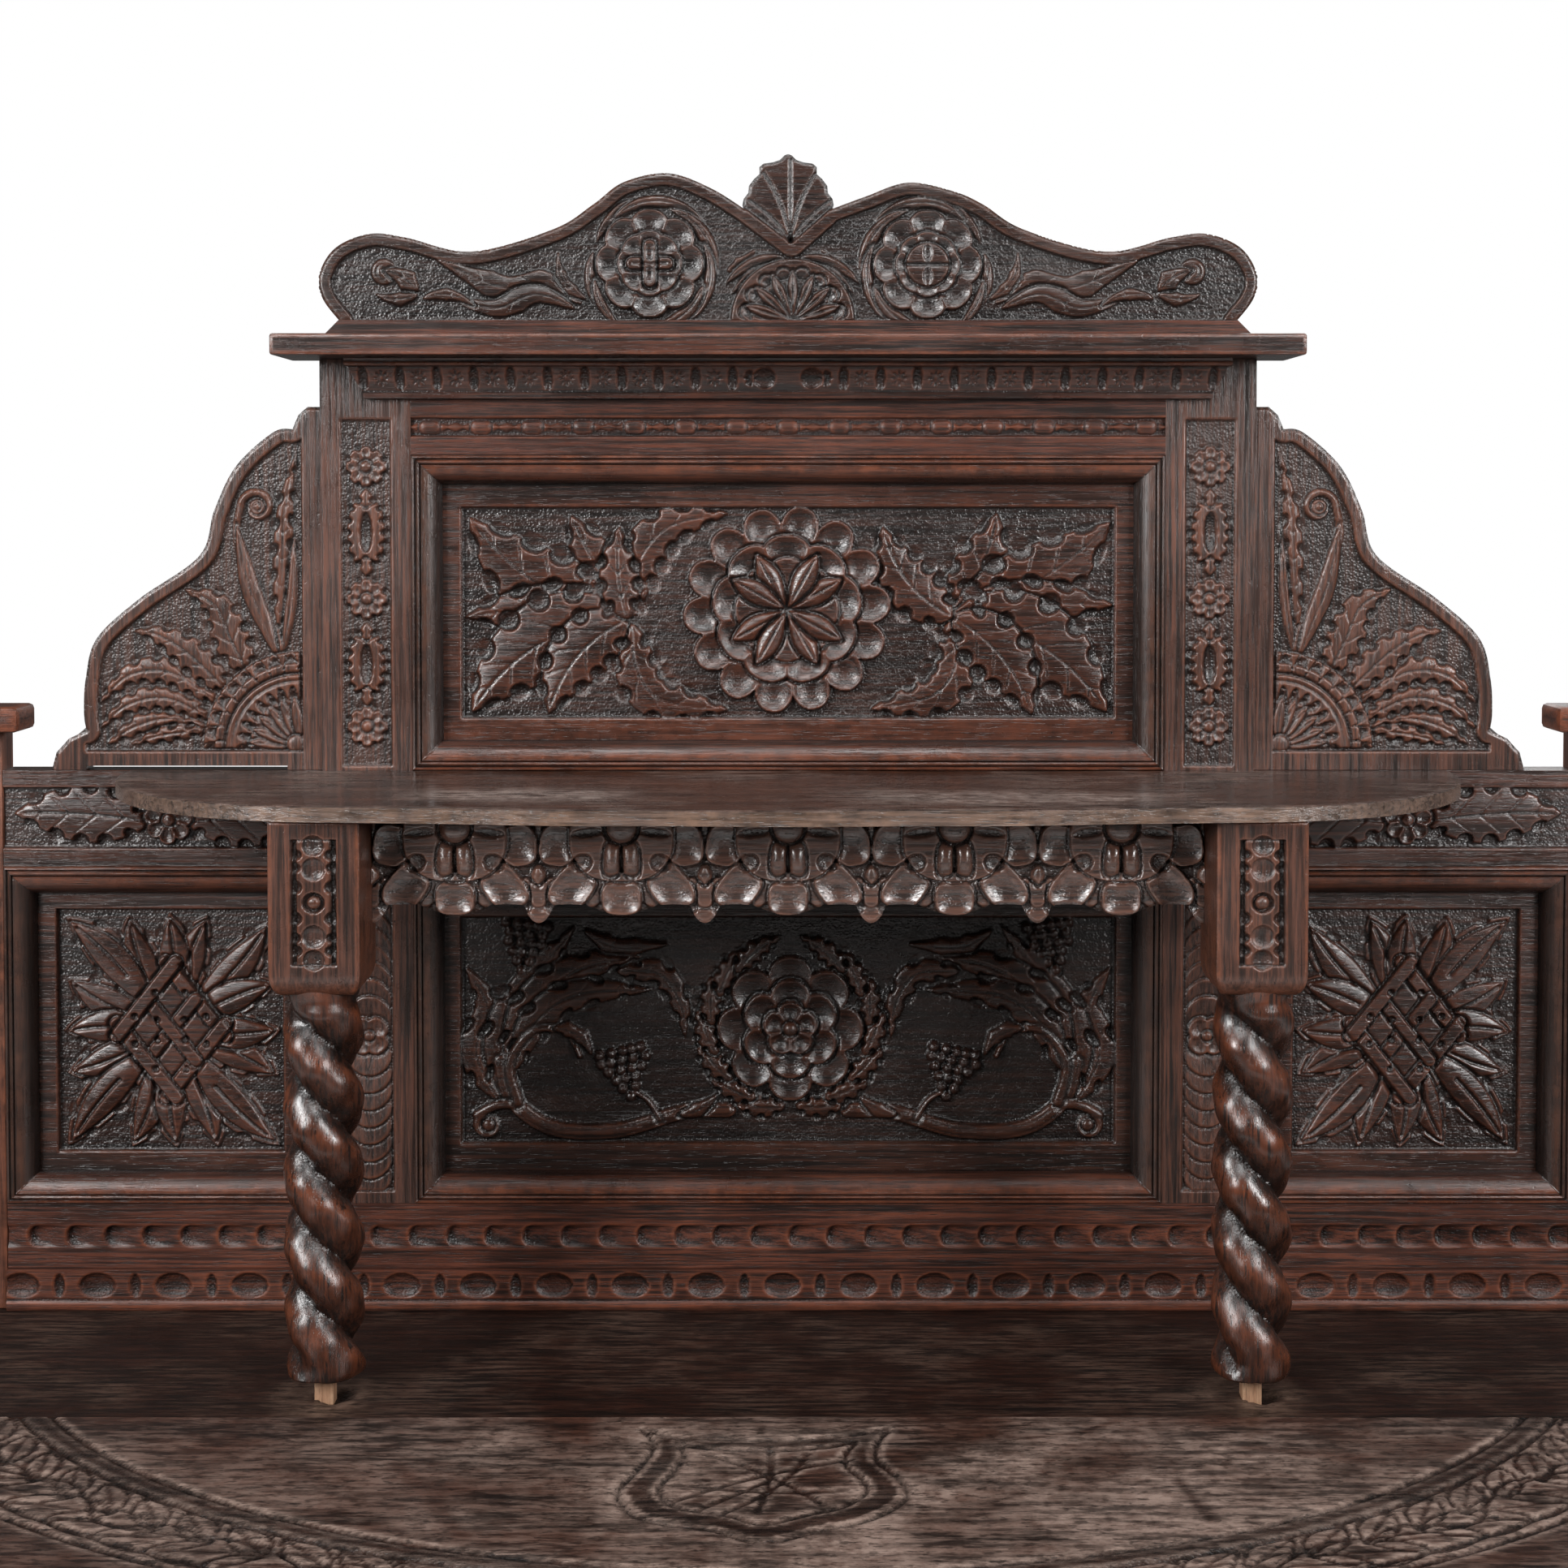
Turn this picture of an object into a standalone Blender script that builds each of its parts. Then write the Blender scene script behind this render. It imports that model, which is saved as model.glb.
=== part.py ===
"""Carved oak serving table: a two-drawer table on a platform base, with a panelled
backboard, a shelf on two barley-twist columns, shaped wings, a cornice and a crest.

Metres, +Z up, -Y is the front. The origin is on the floor, under the middle of the table top.
"""

import math

import bmesh
import bpy
from mathutils import Matrix, Vector

# Fits
FIT_GAP = 0.0003
DRAWER_CLEARANCE = 0.0015
DOWEL_CLEARANCE = 0.0005

# Table top, two boards glued edge to edge
TOP_WIDTH = 1.580
TOP_DEPTH = 0.610
TOP_HEIGHT = 0.900
TOP_THICKNESS = 0.026
TOP_BACK_BOARD_DEPTH = 0.279
TOP_END_OVERHANG = 0.034
TOP_FRONT_OVERHANG = 0.030
TOP_EDGE_CHAMFER = 0.004

# Legs, platform and feet
LEG_SQUARE = 0.080
LEG_TOP_BLOCK = 0.175
LEG_LOW_BLOCK = 0.110
LEG_TWIST_RADIUS = 0.036
LEG_TWIST_HOLLOW = 0.011
LEG_TWIST_PITCH = 0.150
LEG_PIN_RADIUS = 0.016
LEG_PIN_LENGTH = 0.022
POST_CHAMFER = 0.005
PLATFORM_THICKNESS = 0.040
PLATFORM_OVERHANG = 0.012
PLATFORM_CHAMFER = 0.008
FOOT_HEIGHT = 0.085
FOOT_RADIUS = 0.048
FOOT_PIN_RADIUS = 0.014
FOOT_PIN_LENGTH = 0.012

# Frieze under the table top
FRIEZE_HEIGHT = 0.150
FRIEZE_SETBACK = 0.006
APRON_THICKNESS = 0.024
FRIEZE_RAIL_DEPTH = 0.050
FRIEZE_TOP_RAIL = 0.020
FRIEZE_LOW_RAIL = 0.024
DIVIDER_WIDTH = 0.060
FRIEZE_TENON_LENGTH = 0.022
FRIEZE_TENON_SHOULDER = 0.006
DIVIDER_TENON_LENGTH = 0.008
RUNNER_WIDTH = 0.032

# Drawers
DRAWER_DEPTH = 0.440
DRAWER_FRONT_THICKNESS = 0.020
DRAWER_SIDE_THICKNESS = 0.011
DRAWER_BACK_DROP = 0.012
DRAWER_BOTTOM_THICKNESS = 0.007
DRAWER_BOTTOM_RISE = 0.010
DRAWER_GROOVE_DEPTH = 0.005
KNOB_RADIUS = 0.018
KNOB_LENGTH = 0.026
KNOB_PIN_RADIUS = 0.006
KNOB_PIN_LENGTH = 0.012

# Backboard frame
FRAME_THICKNESS = 0.030
FRAME_SETBACK = 0.012
END_STILE_WIDTH = 0.078
END_STILE_RISE = 0.034
INNER_STILE_WIDTH = 0.078
CENTRE_OPENING_WIDTH = 0.648
PLINTH_HEIGHT = 0.036
PLINTH_PROJECTION = 0.006
BOTTOM_RAIL_HEIGHT = 0.057
LOWER_OPENING_HEIGHT = 0.294
SHELF_RAIL_HEIGHT = 0.083
UPPER_OPENING_HEIGHT = 0.272
UPPER_RAIL_HEIGHT = 0.082
FRAME_TENON_LENGTH = 0.024
TENON_WALL = 0.003
END_CAP_HEIGHT = 0.022
END_CAP_OVERHANG = 0.020
END_CAP_CHAMFER = 0.006

# Panels and the mouldings planted round them
PANEL_THICKNESS = 0.012
PANEL_BACK_LIP = 0.004
PANEL_TONGUE = 0.007
MOULDING_WIDTH = 0.025
MOULDING_FILLET = 0.007
MOULDING_PROUD = 0.004

# Shelf, its apron and the two columns
SHELF_END_OVERHANG = 0.168
SHELF_DEPTH = 0.262
SHELF_END_LENGTH = 0.225
SHELF_END_DEPTH = 0.238
SHELF_THICKNESS = 0.012
SHELF_WAVE = 0.003
COLUMN_REACH = 0.195
COLUMN_SQUARE = 0.070
COLUMN_BLOCK_HEIGHT = 0.136
COLUMN_TWIST_RADIUS = 0.031
COLUMN_TWIST_HOLLOW = 0.009
COLUMN_TWIST_PITCH = 0.108
COLUMN_FOOT_GAP = 0.020
DOWEL_WIDTH = 0.015
DOWEL_IN_COLUMN = 0.035
DOWEL_IN_TOP = 0.018
APRON_REACH = 0.178
APRON_BOARD_THICKNESS = 0.030
APRON_DROP = 0.088
APRON_FLOWER_DROP = 0.080
APRON_LEAST_DROP = 0.052
APRON_FLOWERS = 5

# Cornice
CORNICE_END_OVERHANG = 0.031
CORNICE_OVERHANG = 0.055
CORNICE_THICKNESS = 0.018
CORNICE_END_CHAMFER = 0.005
CORNICE_MOULDING_HEIGHT = 0.034
CORNICE_MOULDING_SETBACK = 0.025
CORNICE_MOULDING_PROJECTION = 0.022
CORNICE_MOULDING_FOOT = 0.008
CORNICE_FILLET = 0.006

# Crest and wings; the lists are outline points, (out from the middle or stile, up)
CREST_RAIL_HEIGHT = 0.012
CREST_RAIL_SETBACK = 0.011
CREST_FOOT_SETBACK = 0.009
CREST_RAIL_PROJECTION = 0.034
CREST_THICKNESS = 0.020
CREST_PROJECTION = 0.010
CREST_LEFT_HUMP = 0.1265
CREST_RIGHT_HUMP = 0.1185
CREST_VALLEY = (0.037, 0.096)
CREST_CROWN = [(0.066, 0.90), (0.102, 1.0), (0.140, 0.94)]  # (out, share of the hump)
CREST_SHOULDER = [(0.166, 0.100), (0.200, 0.079), (0.270, 0.060), (0.326, 0.072)]
CREST_END = [(0.357, 0.075), (0.386, 0.063), (0.400, 0.040), (0.397, 0.020), (0.382, 0.0)]
FINIAL = [(0.028, 0.114), (0.025, 0.129), (0.012, 0.133), (0.0, 0.143)]
WING_THICKNESS = 0.020
WING_RECESS = 0.003
WING_END_GAP = 0.042
WING_TOP = [(0.0, 0.313), (0.011, 0.313), (0.019, 0.306), (0.024, 0.294)]
WING_EDGE = [(0.041, 0.291), (0.073, 0.262), (0.092, 0.224), (0.105, 0.185), (0.157, 0.148), (0.194, 0.114)]
WING_LOW_EDGE = [(0.204, 0.080), (0.206, 0.050), (0.204, 0.034)]
WING_FOOT = [(0.219, 0.027), (0.230, 0.015), (0.234, 0.0)]
WING_UNDERCUT = 0.0035
WING_FOOT_LENGTH = 0.030

# Rings of the turned pieces and steps along smooth outlines
RING_POINTS = 16
TWIST_RINGS = 11
CURVE_STEPS = 4
LOBE_STEPS = 14

# Places worked out from the sizes
HALF_WIDTH = TOP_WIDTH / 2 - TOP_END_OVERHANG
TOP_FRONT = -TOP_DEPTH / 2
TOP_BACK = TOP_DEPTH / 2
TOP_UNDERSIDE = TOP_HEIGHT - TOP_THICKNESS
TOP_SEAM = TOP_BACK - TOP_BACK_BOARD_DEPTH
FRAME_BACK = TOP_BACK - FRAME_SETBACK
FRAME_FACE = FRAME_BACK - FRAME_THICKNESS
LEG_X = HALF_WIDTH - LEG_SQUARE / 2
LEG_INNER = HALF_WIDTH - LEG_SQUARE
FRONT_LEG_Y = TOP_FRONT + TOP_FRONT_OVERHANG + LEG_SQUARE / 2
BACK_LEG_Y = FRAME_BACK - LEG_SQUARE / 2
PLATFORM_TOP = FOOT_HEIGHT + PLATFORM_THICKNESS
LEG_BOTTOM = PLATFORM_TOP + FIT_GAP
LEG_TOP = TOP_UNDERSIDE - FIT_GAP
FRIEZE_BOTTOM = TOP_UNDERSIDE - FRIEZE_HEIGHT
FRIEZE_FACE = TOP_FRONT + TOP_FRONT_OVERHANG + FRIEZE_SETBACK
FRIEZE_RAIL_BACK = FRIEZE_FACE + FRIEZE_RAIL_DEPTH
BACK_APRON_FACE = FRAME_BACK - FRIEZE_SETBACK - APRON_THICKNESS
DRAWER_SILL = FRIEZE_BOTTOM + FRIEZE_LOW_RAIL
DRAWER_HEAD = TOP_UNDERSIDE - FRIEZE_TOP_RAIL
PLINTH_TOP = TOP_HEIGHT + PLINTH_HEIGHT
LOWER_SILL = PLINTH_TOP + BOTTOM_RAIL_HEIGHT
LOWER_HEAD = LOWER_SILL + LOWER_OPENING_HEIGHT
SHELF_TOP = LOWER_HEAD + SHELF_RAIL_HEIGHT
SHELF_UNDERSIDE = SHELF_TOP - SHELF_THICKNESS
UPPER_HEAD = SHELF_TOP + UPPER_OPENING_HEIGHT
STILE_TOP = UPPER_HEAD + UPPER_RAIL_HEIGHT
CORNICE_BOTTOM = STILE_TOP + FIT_GAP
CORNICE_TOP = CORNICE_BOTTOM + CORNICE_THICKNESS
CREST_RAIL_BOTTOM = CORNICE_TOP + FIT_GAP
CREST_BOTTOM = CREST_RAIL_BOTTOM + CREST_RAIL_HEIGHT + FIT_GAP
END_STILE_TOP = SHELF_TOP + END_STILE_RISE
END_STILE_INNER = HALF_WIDTH - END_STILE_WIDTH
STILE_INNER = CENTRE_OPENING_WIDTH / 2
STILE_OUTER = STILE_INNER + INNER_STILE_WIDTH
SHELF_HALF_WIDTH = STILE_OUTER + SHELF_END_OVERHANG
COLUMN_SPREAD = STILE_INNER + INNER_STILE_WIDTH / 2
CORNICE_HALF_WIDTH = STILE_OUTER + CORNICE_END_OVERHANG
CORNICE_MOULDING_HALF_WIDTH = STILE_OUTER - CORNICE_MOULDING_SETBACK
CREST_RAIL_HALF_WIDTH = STILE_OUTER - CREST_RAIL_SETBACK
CREST_REACH = CREST_RAIL_HALF_WIDTH - CREST_FOOT_SETBACK
WING_REACH = END_STILE_INNER - STILE_OUTER - WING_END_GAP
PANEL_RECESS = FRAME_THICKNESS - PANEL_BACK_LIP - PANEL_THICKNESS
TENON_SHOULDER = PANEL_TONGUE + TENON_WALL
COLUMN_Y = FRAME_FACE - COLUMN_REACH
COLUMN_BOTTOM = TOP_HEIGHT + COLUMN_FOOT_GAP
SIDES = {"left": -1, "right": 1}
ALONG_X = Vector((1, 0, 0))
ALONG_Y = Vector((0, 1, 0))
ALONG_Z = Vector((0, 0, 1))
FIT = Vector((FIT_GAP, FIT_GAP, FIT_GAP))


def wood(name, colour, roughness):
    material = bpy.data.materials.new(name)
    material.use_nodes = True
    shader = material.node_tree.nodes["Principled BSDF"]
    shader.inputs["Base Color"].default_value = (*colour, 1.0)
    shader.inputs["Roughness"].default_value = roughness
    shader.inputs["Metallic"].default_value = 0.0
    material.diffuse_color = (*colour, 1.0)
    return material


def finish(name, shape, material, smooth=False):
    """Turns a bmesh into a named object with its material."""
    bmesh.ops.recalc_face_normals(shape, faces=shape.faces)
    mesh = bpy.data.meshes.new(name)
    shape.to_mesh(mesh)
    shape.free()
    mesh.materials.append(material)
    if smooth:
        mesh.shade_smooth()
        mesh.set_sharp_from_angle(angle=math.radians(40))
    piece = bpy.data.objects.new(name, mesh)
    bpy.context.scene.collection.objects.link(piece)
    return piece


def add_box(shape, low, high):
    low, high = Vector(low), Vector(high)
    corners = bmesh.ops.create_cube(shape, size=1.0)["verts"]
    bmesh.ops.scale(shape, vec=high - low, verts=corners)
    bmesh.ops.translate(shape, vec=(low + high) / 2, verts=corners)


def add_tenon(shape, direction, shoulder, length):
    """Insets the outermost face that looks along direction and pulls it out."""
    face = max(shape.faces, key=lambda each: each.calc_center_median().dot(direction))
    bmesh.ops.inset_region(shape, faces=[face], thickness=shoulder, use_even_offset=True)
    tip = bmesh.ops.extrude_discrete_faces(shape, faces=[face])["faces"][0]
    bmesh.ops.translate(shape, vec=direction * length, verts=tip.verts)


def board(name, low, high, material, tenons=(), shoulder=TENON_SHOULDER, length=FRAME_TENON_LENGTH):
    shape = bmesh.new()
    add_box(shape, low, high)
    for direction in tenons:
        add_tenon(shape, direction, shoulder, length)
    return finish(name, shape, material)


def prism(name, outline, start, end, lift, material):
    """Extrudes an outline; lift turns (across, along, depth) into a place in the frame."""
    shape = bmesh.new()
    near = [shape.verts.new(lift(a, b, start)) for a, b in outline]
    far = [shape.verts.new(lift(a, b, end)) for a, b in outline]
    shape.faces.new(near)
    shape.faces.new(far)
    for i in range(len(outline)):
        j = (i + 1) % len(outline)
        shape.faces.new((near[i], near[j], far[j], far[i]))
    return finish(name, shape, material)


def upright(across, along, depth):
    return Vector((across, depth, along))


def level(across, along, depth):
    return Vector((across, along, depth))


def chamfer(piece, width):
    edge = piece.modifiers.new("chamfer", "BEVEL")
    edge.width = width
    edge.segments = 1
    edge.limit_method = "ANGLE"
    edge.angle_limit = math.radians(60)


def cut(piece, fill):
    """Cuts from the piece what fill(shape) adds to an empty shape."""
    shape = bmesh.new()
    fill(shape)
    count = sum(modifier.type == "BOOLEAN" for modifier in piece.modifiers)
    cutter = finish(f"{piece.name}_cutter_{count}", shape, piece.data.materials[0])
    cutter.hide_render = True
    cutter.display_type = "WIRE"
    pocket = piece.modifiers.new(f"cut_{count}", "BOOLEAN")
    pocket.operation = "DIFFERENCE"
    pocket.solver = "EXACT"
    pocket.object = cutter


def cut_boxes(piece, boxes):
    def fill(shape):
        for low, high in boxes:
            add_box(shape, Vector(low) - FIT, Vector(high) + FIT)

    cut(piece, fill)


def tenon_box(low, high, direction, shoulder=TENON_SHOULDER, length=FRAME_TENON_LENGTH):
    """The space that the tenon of a board from low to high takes up beyond its shoulder."""
    across = Vector((1, 1, 1)) - Vector([abs(each) for each in direction])
    inner_low = Vector(low) + across * shoulder
    inner_high = Vector(high) - across * shoulder
    if sum(direction) > 0:
        inner_low += direction * (Vector(high) - Vector(low)).dot(direction)
        inner_high += direction * length
    else:
        inner_high += direction * (Vector(low) - Vector(high)).dot(direction)
        inner_low += direction * length
    return inner_low, inner_high


def smooth_path(points, steps=CURVE_STEPS):
    """A curve through the points, with its ends at the first and last of them."""
    path = []
    last = len(points) - 1
    for i in range(last):
        before, start = Vector(points[max(i - 1, 0)]), Vector(points[i])
        end, after = Vector(points[i + 1]), Vector(points[min(i + 2, last)])
        for step in range(steps):
            t = step / steps
            bend = 2 * before - 5 * start + 4 * end - after
            twist = 3 * start - before - 3 * end + after
            place = start + (end - before) * t / 2 + bend * t**2 / 2 + twist * t**3 / 2
            path.append(tuple(place))
    path.append(tuple(points[last]))
    return path


def square_ring(half, corner_cut=0.0):
    """A square whose corners are cut off by corner_cut, measured along the diagonal."""
    def radius_at(angle):
        across, along = abs(math.cos(angle)), abs(math.sin(angle))
        corner = (half * math.sqrt(2) - corner_cut) * math.sqrt(2) / (across + along)
        return min(half / max(across, along), corner)

    return radius_at


def round_ring(radius):
    return lambda angle: radius


def twist_ring(radius, hollow, turn):
    """Two strands that wind round the axis, shifted by a turn."""
    return lambda angle: radius - hollow * (0.5 - 0.5 * math.cos(2 * (angle + turn)))


def add_rings(shape, rings, place=None):
    """Skins rings of (height, radius at each angle) from the bottom up and closes both ends."""
    loops = []
    for height, radius_at in rings:
        loop = []
        for i in range(RING_POINTS):
            angle = 2 * math.pi * i / RING_POINTS
            radius = radius_at(angle)
            loop.append(shape.verts.new((radius * math.cos(angle), radius * math.sin(angle), height)))
        loops.append(loop)
    for low, high in zip(loops, loops[1:]):
        for i in range(RING_POINTS):
            j = (i + 1) % RING_POINTS
            shape.faces.new((low[i], low[j], high[j], high[i]))
    shape.faces.new(loops[0][::-1])
    shape.faces.new(loops[-1])
    if place is not None:
        corners = [corner for loop in loops for corner in loop]
        bmesh.ops.transform(shape, matrix=place, verts=corners)


def twist_rings(bottom, top, radius, hollow, pitch):
    """Rings of a barley twist that swells from a plain neck at each end."""
    count = max(2, round((top - bottom) / pitch * TWIST_RINGS))
    rings = []
    for i in range(count + 1):
        height = bottom + (top - bottom) * i / count
        swell = min(1.0, min(i, count - i) / 2)
        turn = 2 * math.pi * (height - bottom) / pitch
        rings.append((height, twist_ring(radius - (1 - swell) * hollow / 2, hollow * swell, turn)))
    return rings


def turned(name, x, y, rings, material):
    shape = bmesh.new()
    add_rings(shape, rings, Matrix.Translation((x, y, 0)))
    return finish(name, shape, material, smooth=True)


def bore(piece, x, y, bottom, top, radius):
    hole = [(bottom, round_ring(radius)), (top, round_ring(radius))]
    cut(piece, lambda shape: add_rings(shape, hole, Matrix.Translation((x, y, 0))))


def table_top(material):
    seam = TOP_SEAM
    back = board(
        "top_back_board",
        (-TOP_WIDTH / 2, seam + FIT_GAP, TOP_UNDERSIDE),
        (TOP_WIDTH / 2, TOP_BACK, TOP_HEIGHT),
        material,
    )
    chamfer(back, TOP_EDGE_CHAMFER / 4)
    front = board(
        "top_front_board",
        (-TOP_WIDTH / 2, TOP_FRONT, TOP_UNDERSIDE),
        (TOP_WIDTH / 2, seam, TOP_HEIGHT),
        material,
    )
    chamfer(front, TOP_EDGE_CHAMFER / 4)
    half = DOWEL_WIDTH / 2 + DOWEL_CLEARANCE
    for side in SIDES.values():
        x = side * COLUMN_SPREAD
        low = (x - half, COLUMN_Y - half, TOP_HEIGHT - DOWEL_IN_TOP)
        cut_boxes(back, [(low, (x + half, COLUMN_Y + half, TOP_HEIGHT + DOWEL_IN_TOP))])


def leg_pin():
    pin = round_ring(LEG_PIN_RADIUS)
    return [(LEG_BOTTOM - LEG_PIN_LENGTH, pin), (LEG_BOTTOM, pin)]


def front_legs(material):
    twist_bottom = LEG_BOTTOM + LEG_LOW_BLOCK
    twist_top = LEG_TOP - LEG_TOP_BLOCK
    step = LEG_SQUARE / 8
    square = square_ring(LEG_SQUARE / 2)
    neck = round_ring(LEG_TWIST_RADIUS)
    rings = leg_pin() + [(LEG_BOTTOM, square), (twist_bottom - step, square), (twist_bottom, neck)]
    twist = LEG_TWIST_RADIUS, LEG_TWIST_HOLLOW, LEG_TWIST_PITCH
    rings += twist_rings(twist_bottom + step, twist_top - step, *twist)
    rings += [(twist_top, neck), (twist_top + step, square), (LEG_TOP, square)]
    for name, side in SIDES.items():
        leg = turned(f"front_leg_{name}", side * LEG_X, FRONT_LEG_Y, rings, material)
        cut_boxes(leg, [frieze_tenon(box, side) for box in front_rail_boxes()])
        cut_boxes(leg, [apron_tenon(side, -1)])


def back_legs(material):
    """Square posts with chamfered corners and the same pin as the front legs."""
    square = square_ring(LEG_SQUARE / 2, POST_CHAMFER)
    rings = leg_pin() + [(LEG_BOTTOM, square), (LEG_TOP, square)]
    for name, side in SIDES.items():
        leg = turned(f"back_leg_{name}", side * LEG_X, BACK_LEG_Y, rings, material)
        cut_boxes(leg, [apron_tenon(side, 1)])
        cut_boxes(leg, [frieze_tenon(back_apron_box(), side)])


def platform(material):
    low = (-HALF_WIDTH - PLATFORM_OVERHANG, FRONT_LEG_Y - LEG_SQUARE / 2 - PLATFORM_OVERHANG, FOOT_HEIGHT)
    high = (HALF_WIDTH + PLATFORM_OVERHANG, FRAME_BACK, PLATFORM_TOP)
    slab = board("platform", low, high, material)
    chamfer(slab, PLATFORM_CHAMFER)
    for side in SIDES.values():
        x = side * LEG_X
        pin_bottom = LEG_BOTTOM - LEG_PIN_LENGTH - FIT_GAP
        for y in (FRONT_LEG_Y, BACK_LEG_Y):
            bore(slab, x, y, pin_bottom, LEG_BOTTOM + LEG_PIN_LENGTH, LEG_PIN_RADIUS + FIT_GAP)
            bore(slab, x, y, 0, FOOT_HEIGHT + FOOT_PIN_LENGTH + FIT_GAP, FOOT_PIN_RADIUS + FIT_GAP)


def feet(material):
    neck = FOOT_RADIUS * 0.66
    rings = [
        (0.0, round_ring(neck)),
        (FOOT_HEIGHT * 0.10, round_ring(FOOT_RADIUS * 0.88)),
        (FOOT_HEIGHT * 0.30, round_ring(FOOT_RADIUS)),
        (FOOT_HEIGHT * 0.55, round_ring(FOOT_RADIUS * 0.97)),
        (FOOT_HEIGHT * 0.74, round_ring(FOOT_RADIUS * 0.78)),
        (FOOT_HEIGHT * 0.80, round_ring(neck)),
        (FOOT_HEIGHT - FIT_GAP, round_ring(neck)),
        (FOOT_HEIGHT - FIT_GAP, round_ring(FOOT_PIN_RADIUS)),
        (FOOT_HEIGHT + FOOT_PIN_LENGTH, round_ring(FOOT_PIN_RADIUS)),
    ]
    for name, side in SIDES.items():
        turned(f"foot_front_{name}", side * LEG_X, FRONT_LEG_Y, rings, material)
        turned(f"foot_back_{name}", side * LEG_X, BACK_LEG_Y, rings, material)


def front_rail_boxes():
    """The frieze's top and low rails, between the front legs."""
    reach = LEG_INNER - FIT_GAP
    spans = ((DRAWER_HEAD, TOP_UNDERSIDE - FIT_GAP), (FRIEZE_BOTTOM, DRAWER_SILL))
    return [((-reach, FRIEZE_FACE, low), (reach, FRIEZE_RAIL_BACK, high)) for low, high in spans]


def side_apron_box(side):
    outer = side * (HALF_WIDTH - FRIEZE_SETBACK)
    inner = outer - side * APRON_THICKNESS
    low_y = FRONT_LEG_Y + LEG_SQUARE / 2 + FIT_GAP
    high_y = BACK_LEG_Y - LEG_SQUARE / 2 - FIT_GAP
    low = (min(inner, outer), low_y, FRIEZE_BOTTOM)
    return low, (max(inner, outer), high_y, TOP_UNDERSIDE - FIT_GAP)


def back_apron_box():
    reach = LEG_INNER - FIT_GAP
    low = (-reach, BACK_APRON_FACE, FRIEZE_BOTTOM)
    return low, (reach, BACK_APRON_FACE + APRON_THICKNESS, TOP_UNDERSIDE - FIT_GAP)


def frieze_tenon(box, side):
    return tenon_box(*box, side * ALONG_X, FRIEZE_TENON_SHOULDER, FRIEZE_TENON_LENGTH)


def apron_tenon(side, end):
    return tenon_box(*side_apron_box(side), end * ALONG_Y, FRIEZE_TENON_SHOULDER, FRIEZE_TENON_LENGTH)


def frieze(material):
    fit = {"shoulder": FRIEZE_TENON_SHOULDER, "length": FRIEZE_TENON_LENGTH}
    ends = (ALONG_X, -ALONG_X)
    upper, lower = front_rail_boxes()
    rails = [
        board("frieze_top_rail", *upper, material, tenons=ends, **fit),
        board("frieze_low_rail", *lower, material, tenons=ends, **fit),
    ]
    board("back_apron", *back_apron_box(), material, tenons=ends, **fit)
    for name, side in SIDES.items():
        board(f"side_apron_{name}", *side_apron_box(side), material, tenons=(ALONG_Y, -ALONG_Y), **fit)
    low = (-DIVIDER_WIDTH / 2, FRIEZE_FACE, DRAWER_SILL + FIT_GAP)
    high = (DIVIDER_WIDTH / 2, FRIEZE_RAIL_BACK, DRAWER_HEAD - FIT_GAP)
    stub = {"shoulder": FRIEZE_TENON_SHOULDER, "length": DIVIDER_TENON_LENGTH}
    board("drawer_divider", low, high, material, tenons=(ALONG_Z, -ALONG_Z), **stub)
    for rail, direction in zip(rails, (ALONG_Z, -ALONG_Z)):
        cut_boxes(rail, [tenon_box(low, high, direction, **stub)])


def runners(material):
    """Bearers under the drawer sides, from the low rail to the back apron."""
    outer = LEG_INNER - FIT_GAP
    spans = {
        "left": (-outer, RUNNER_WIDTH - outer),
        "centre": (-DIVIDER_WIDTH / 2 - RUNNER_WIDTH, DIVIDER_WIDTH / 2 + RUNNER_WIDTH),
        "right": (outer - RUNNER_WIDTH, outer),
    }
    for name, (left, right) in spans.items():
        board(
            f"drawer_runner_{name}",
            (left, FRIEZE_RAIL_BACK + FIT_GAP, FRIEZE_BOTTOM),
            (right, BACK_APRON_FACE - FIT_GAP, DRAWER_SILL),
            material,
        )


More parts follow.
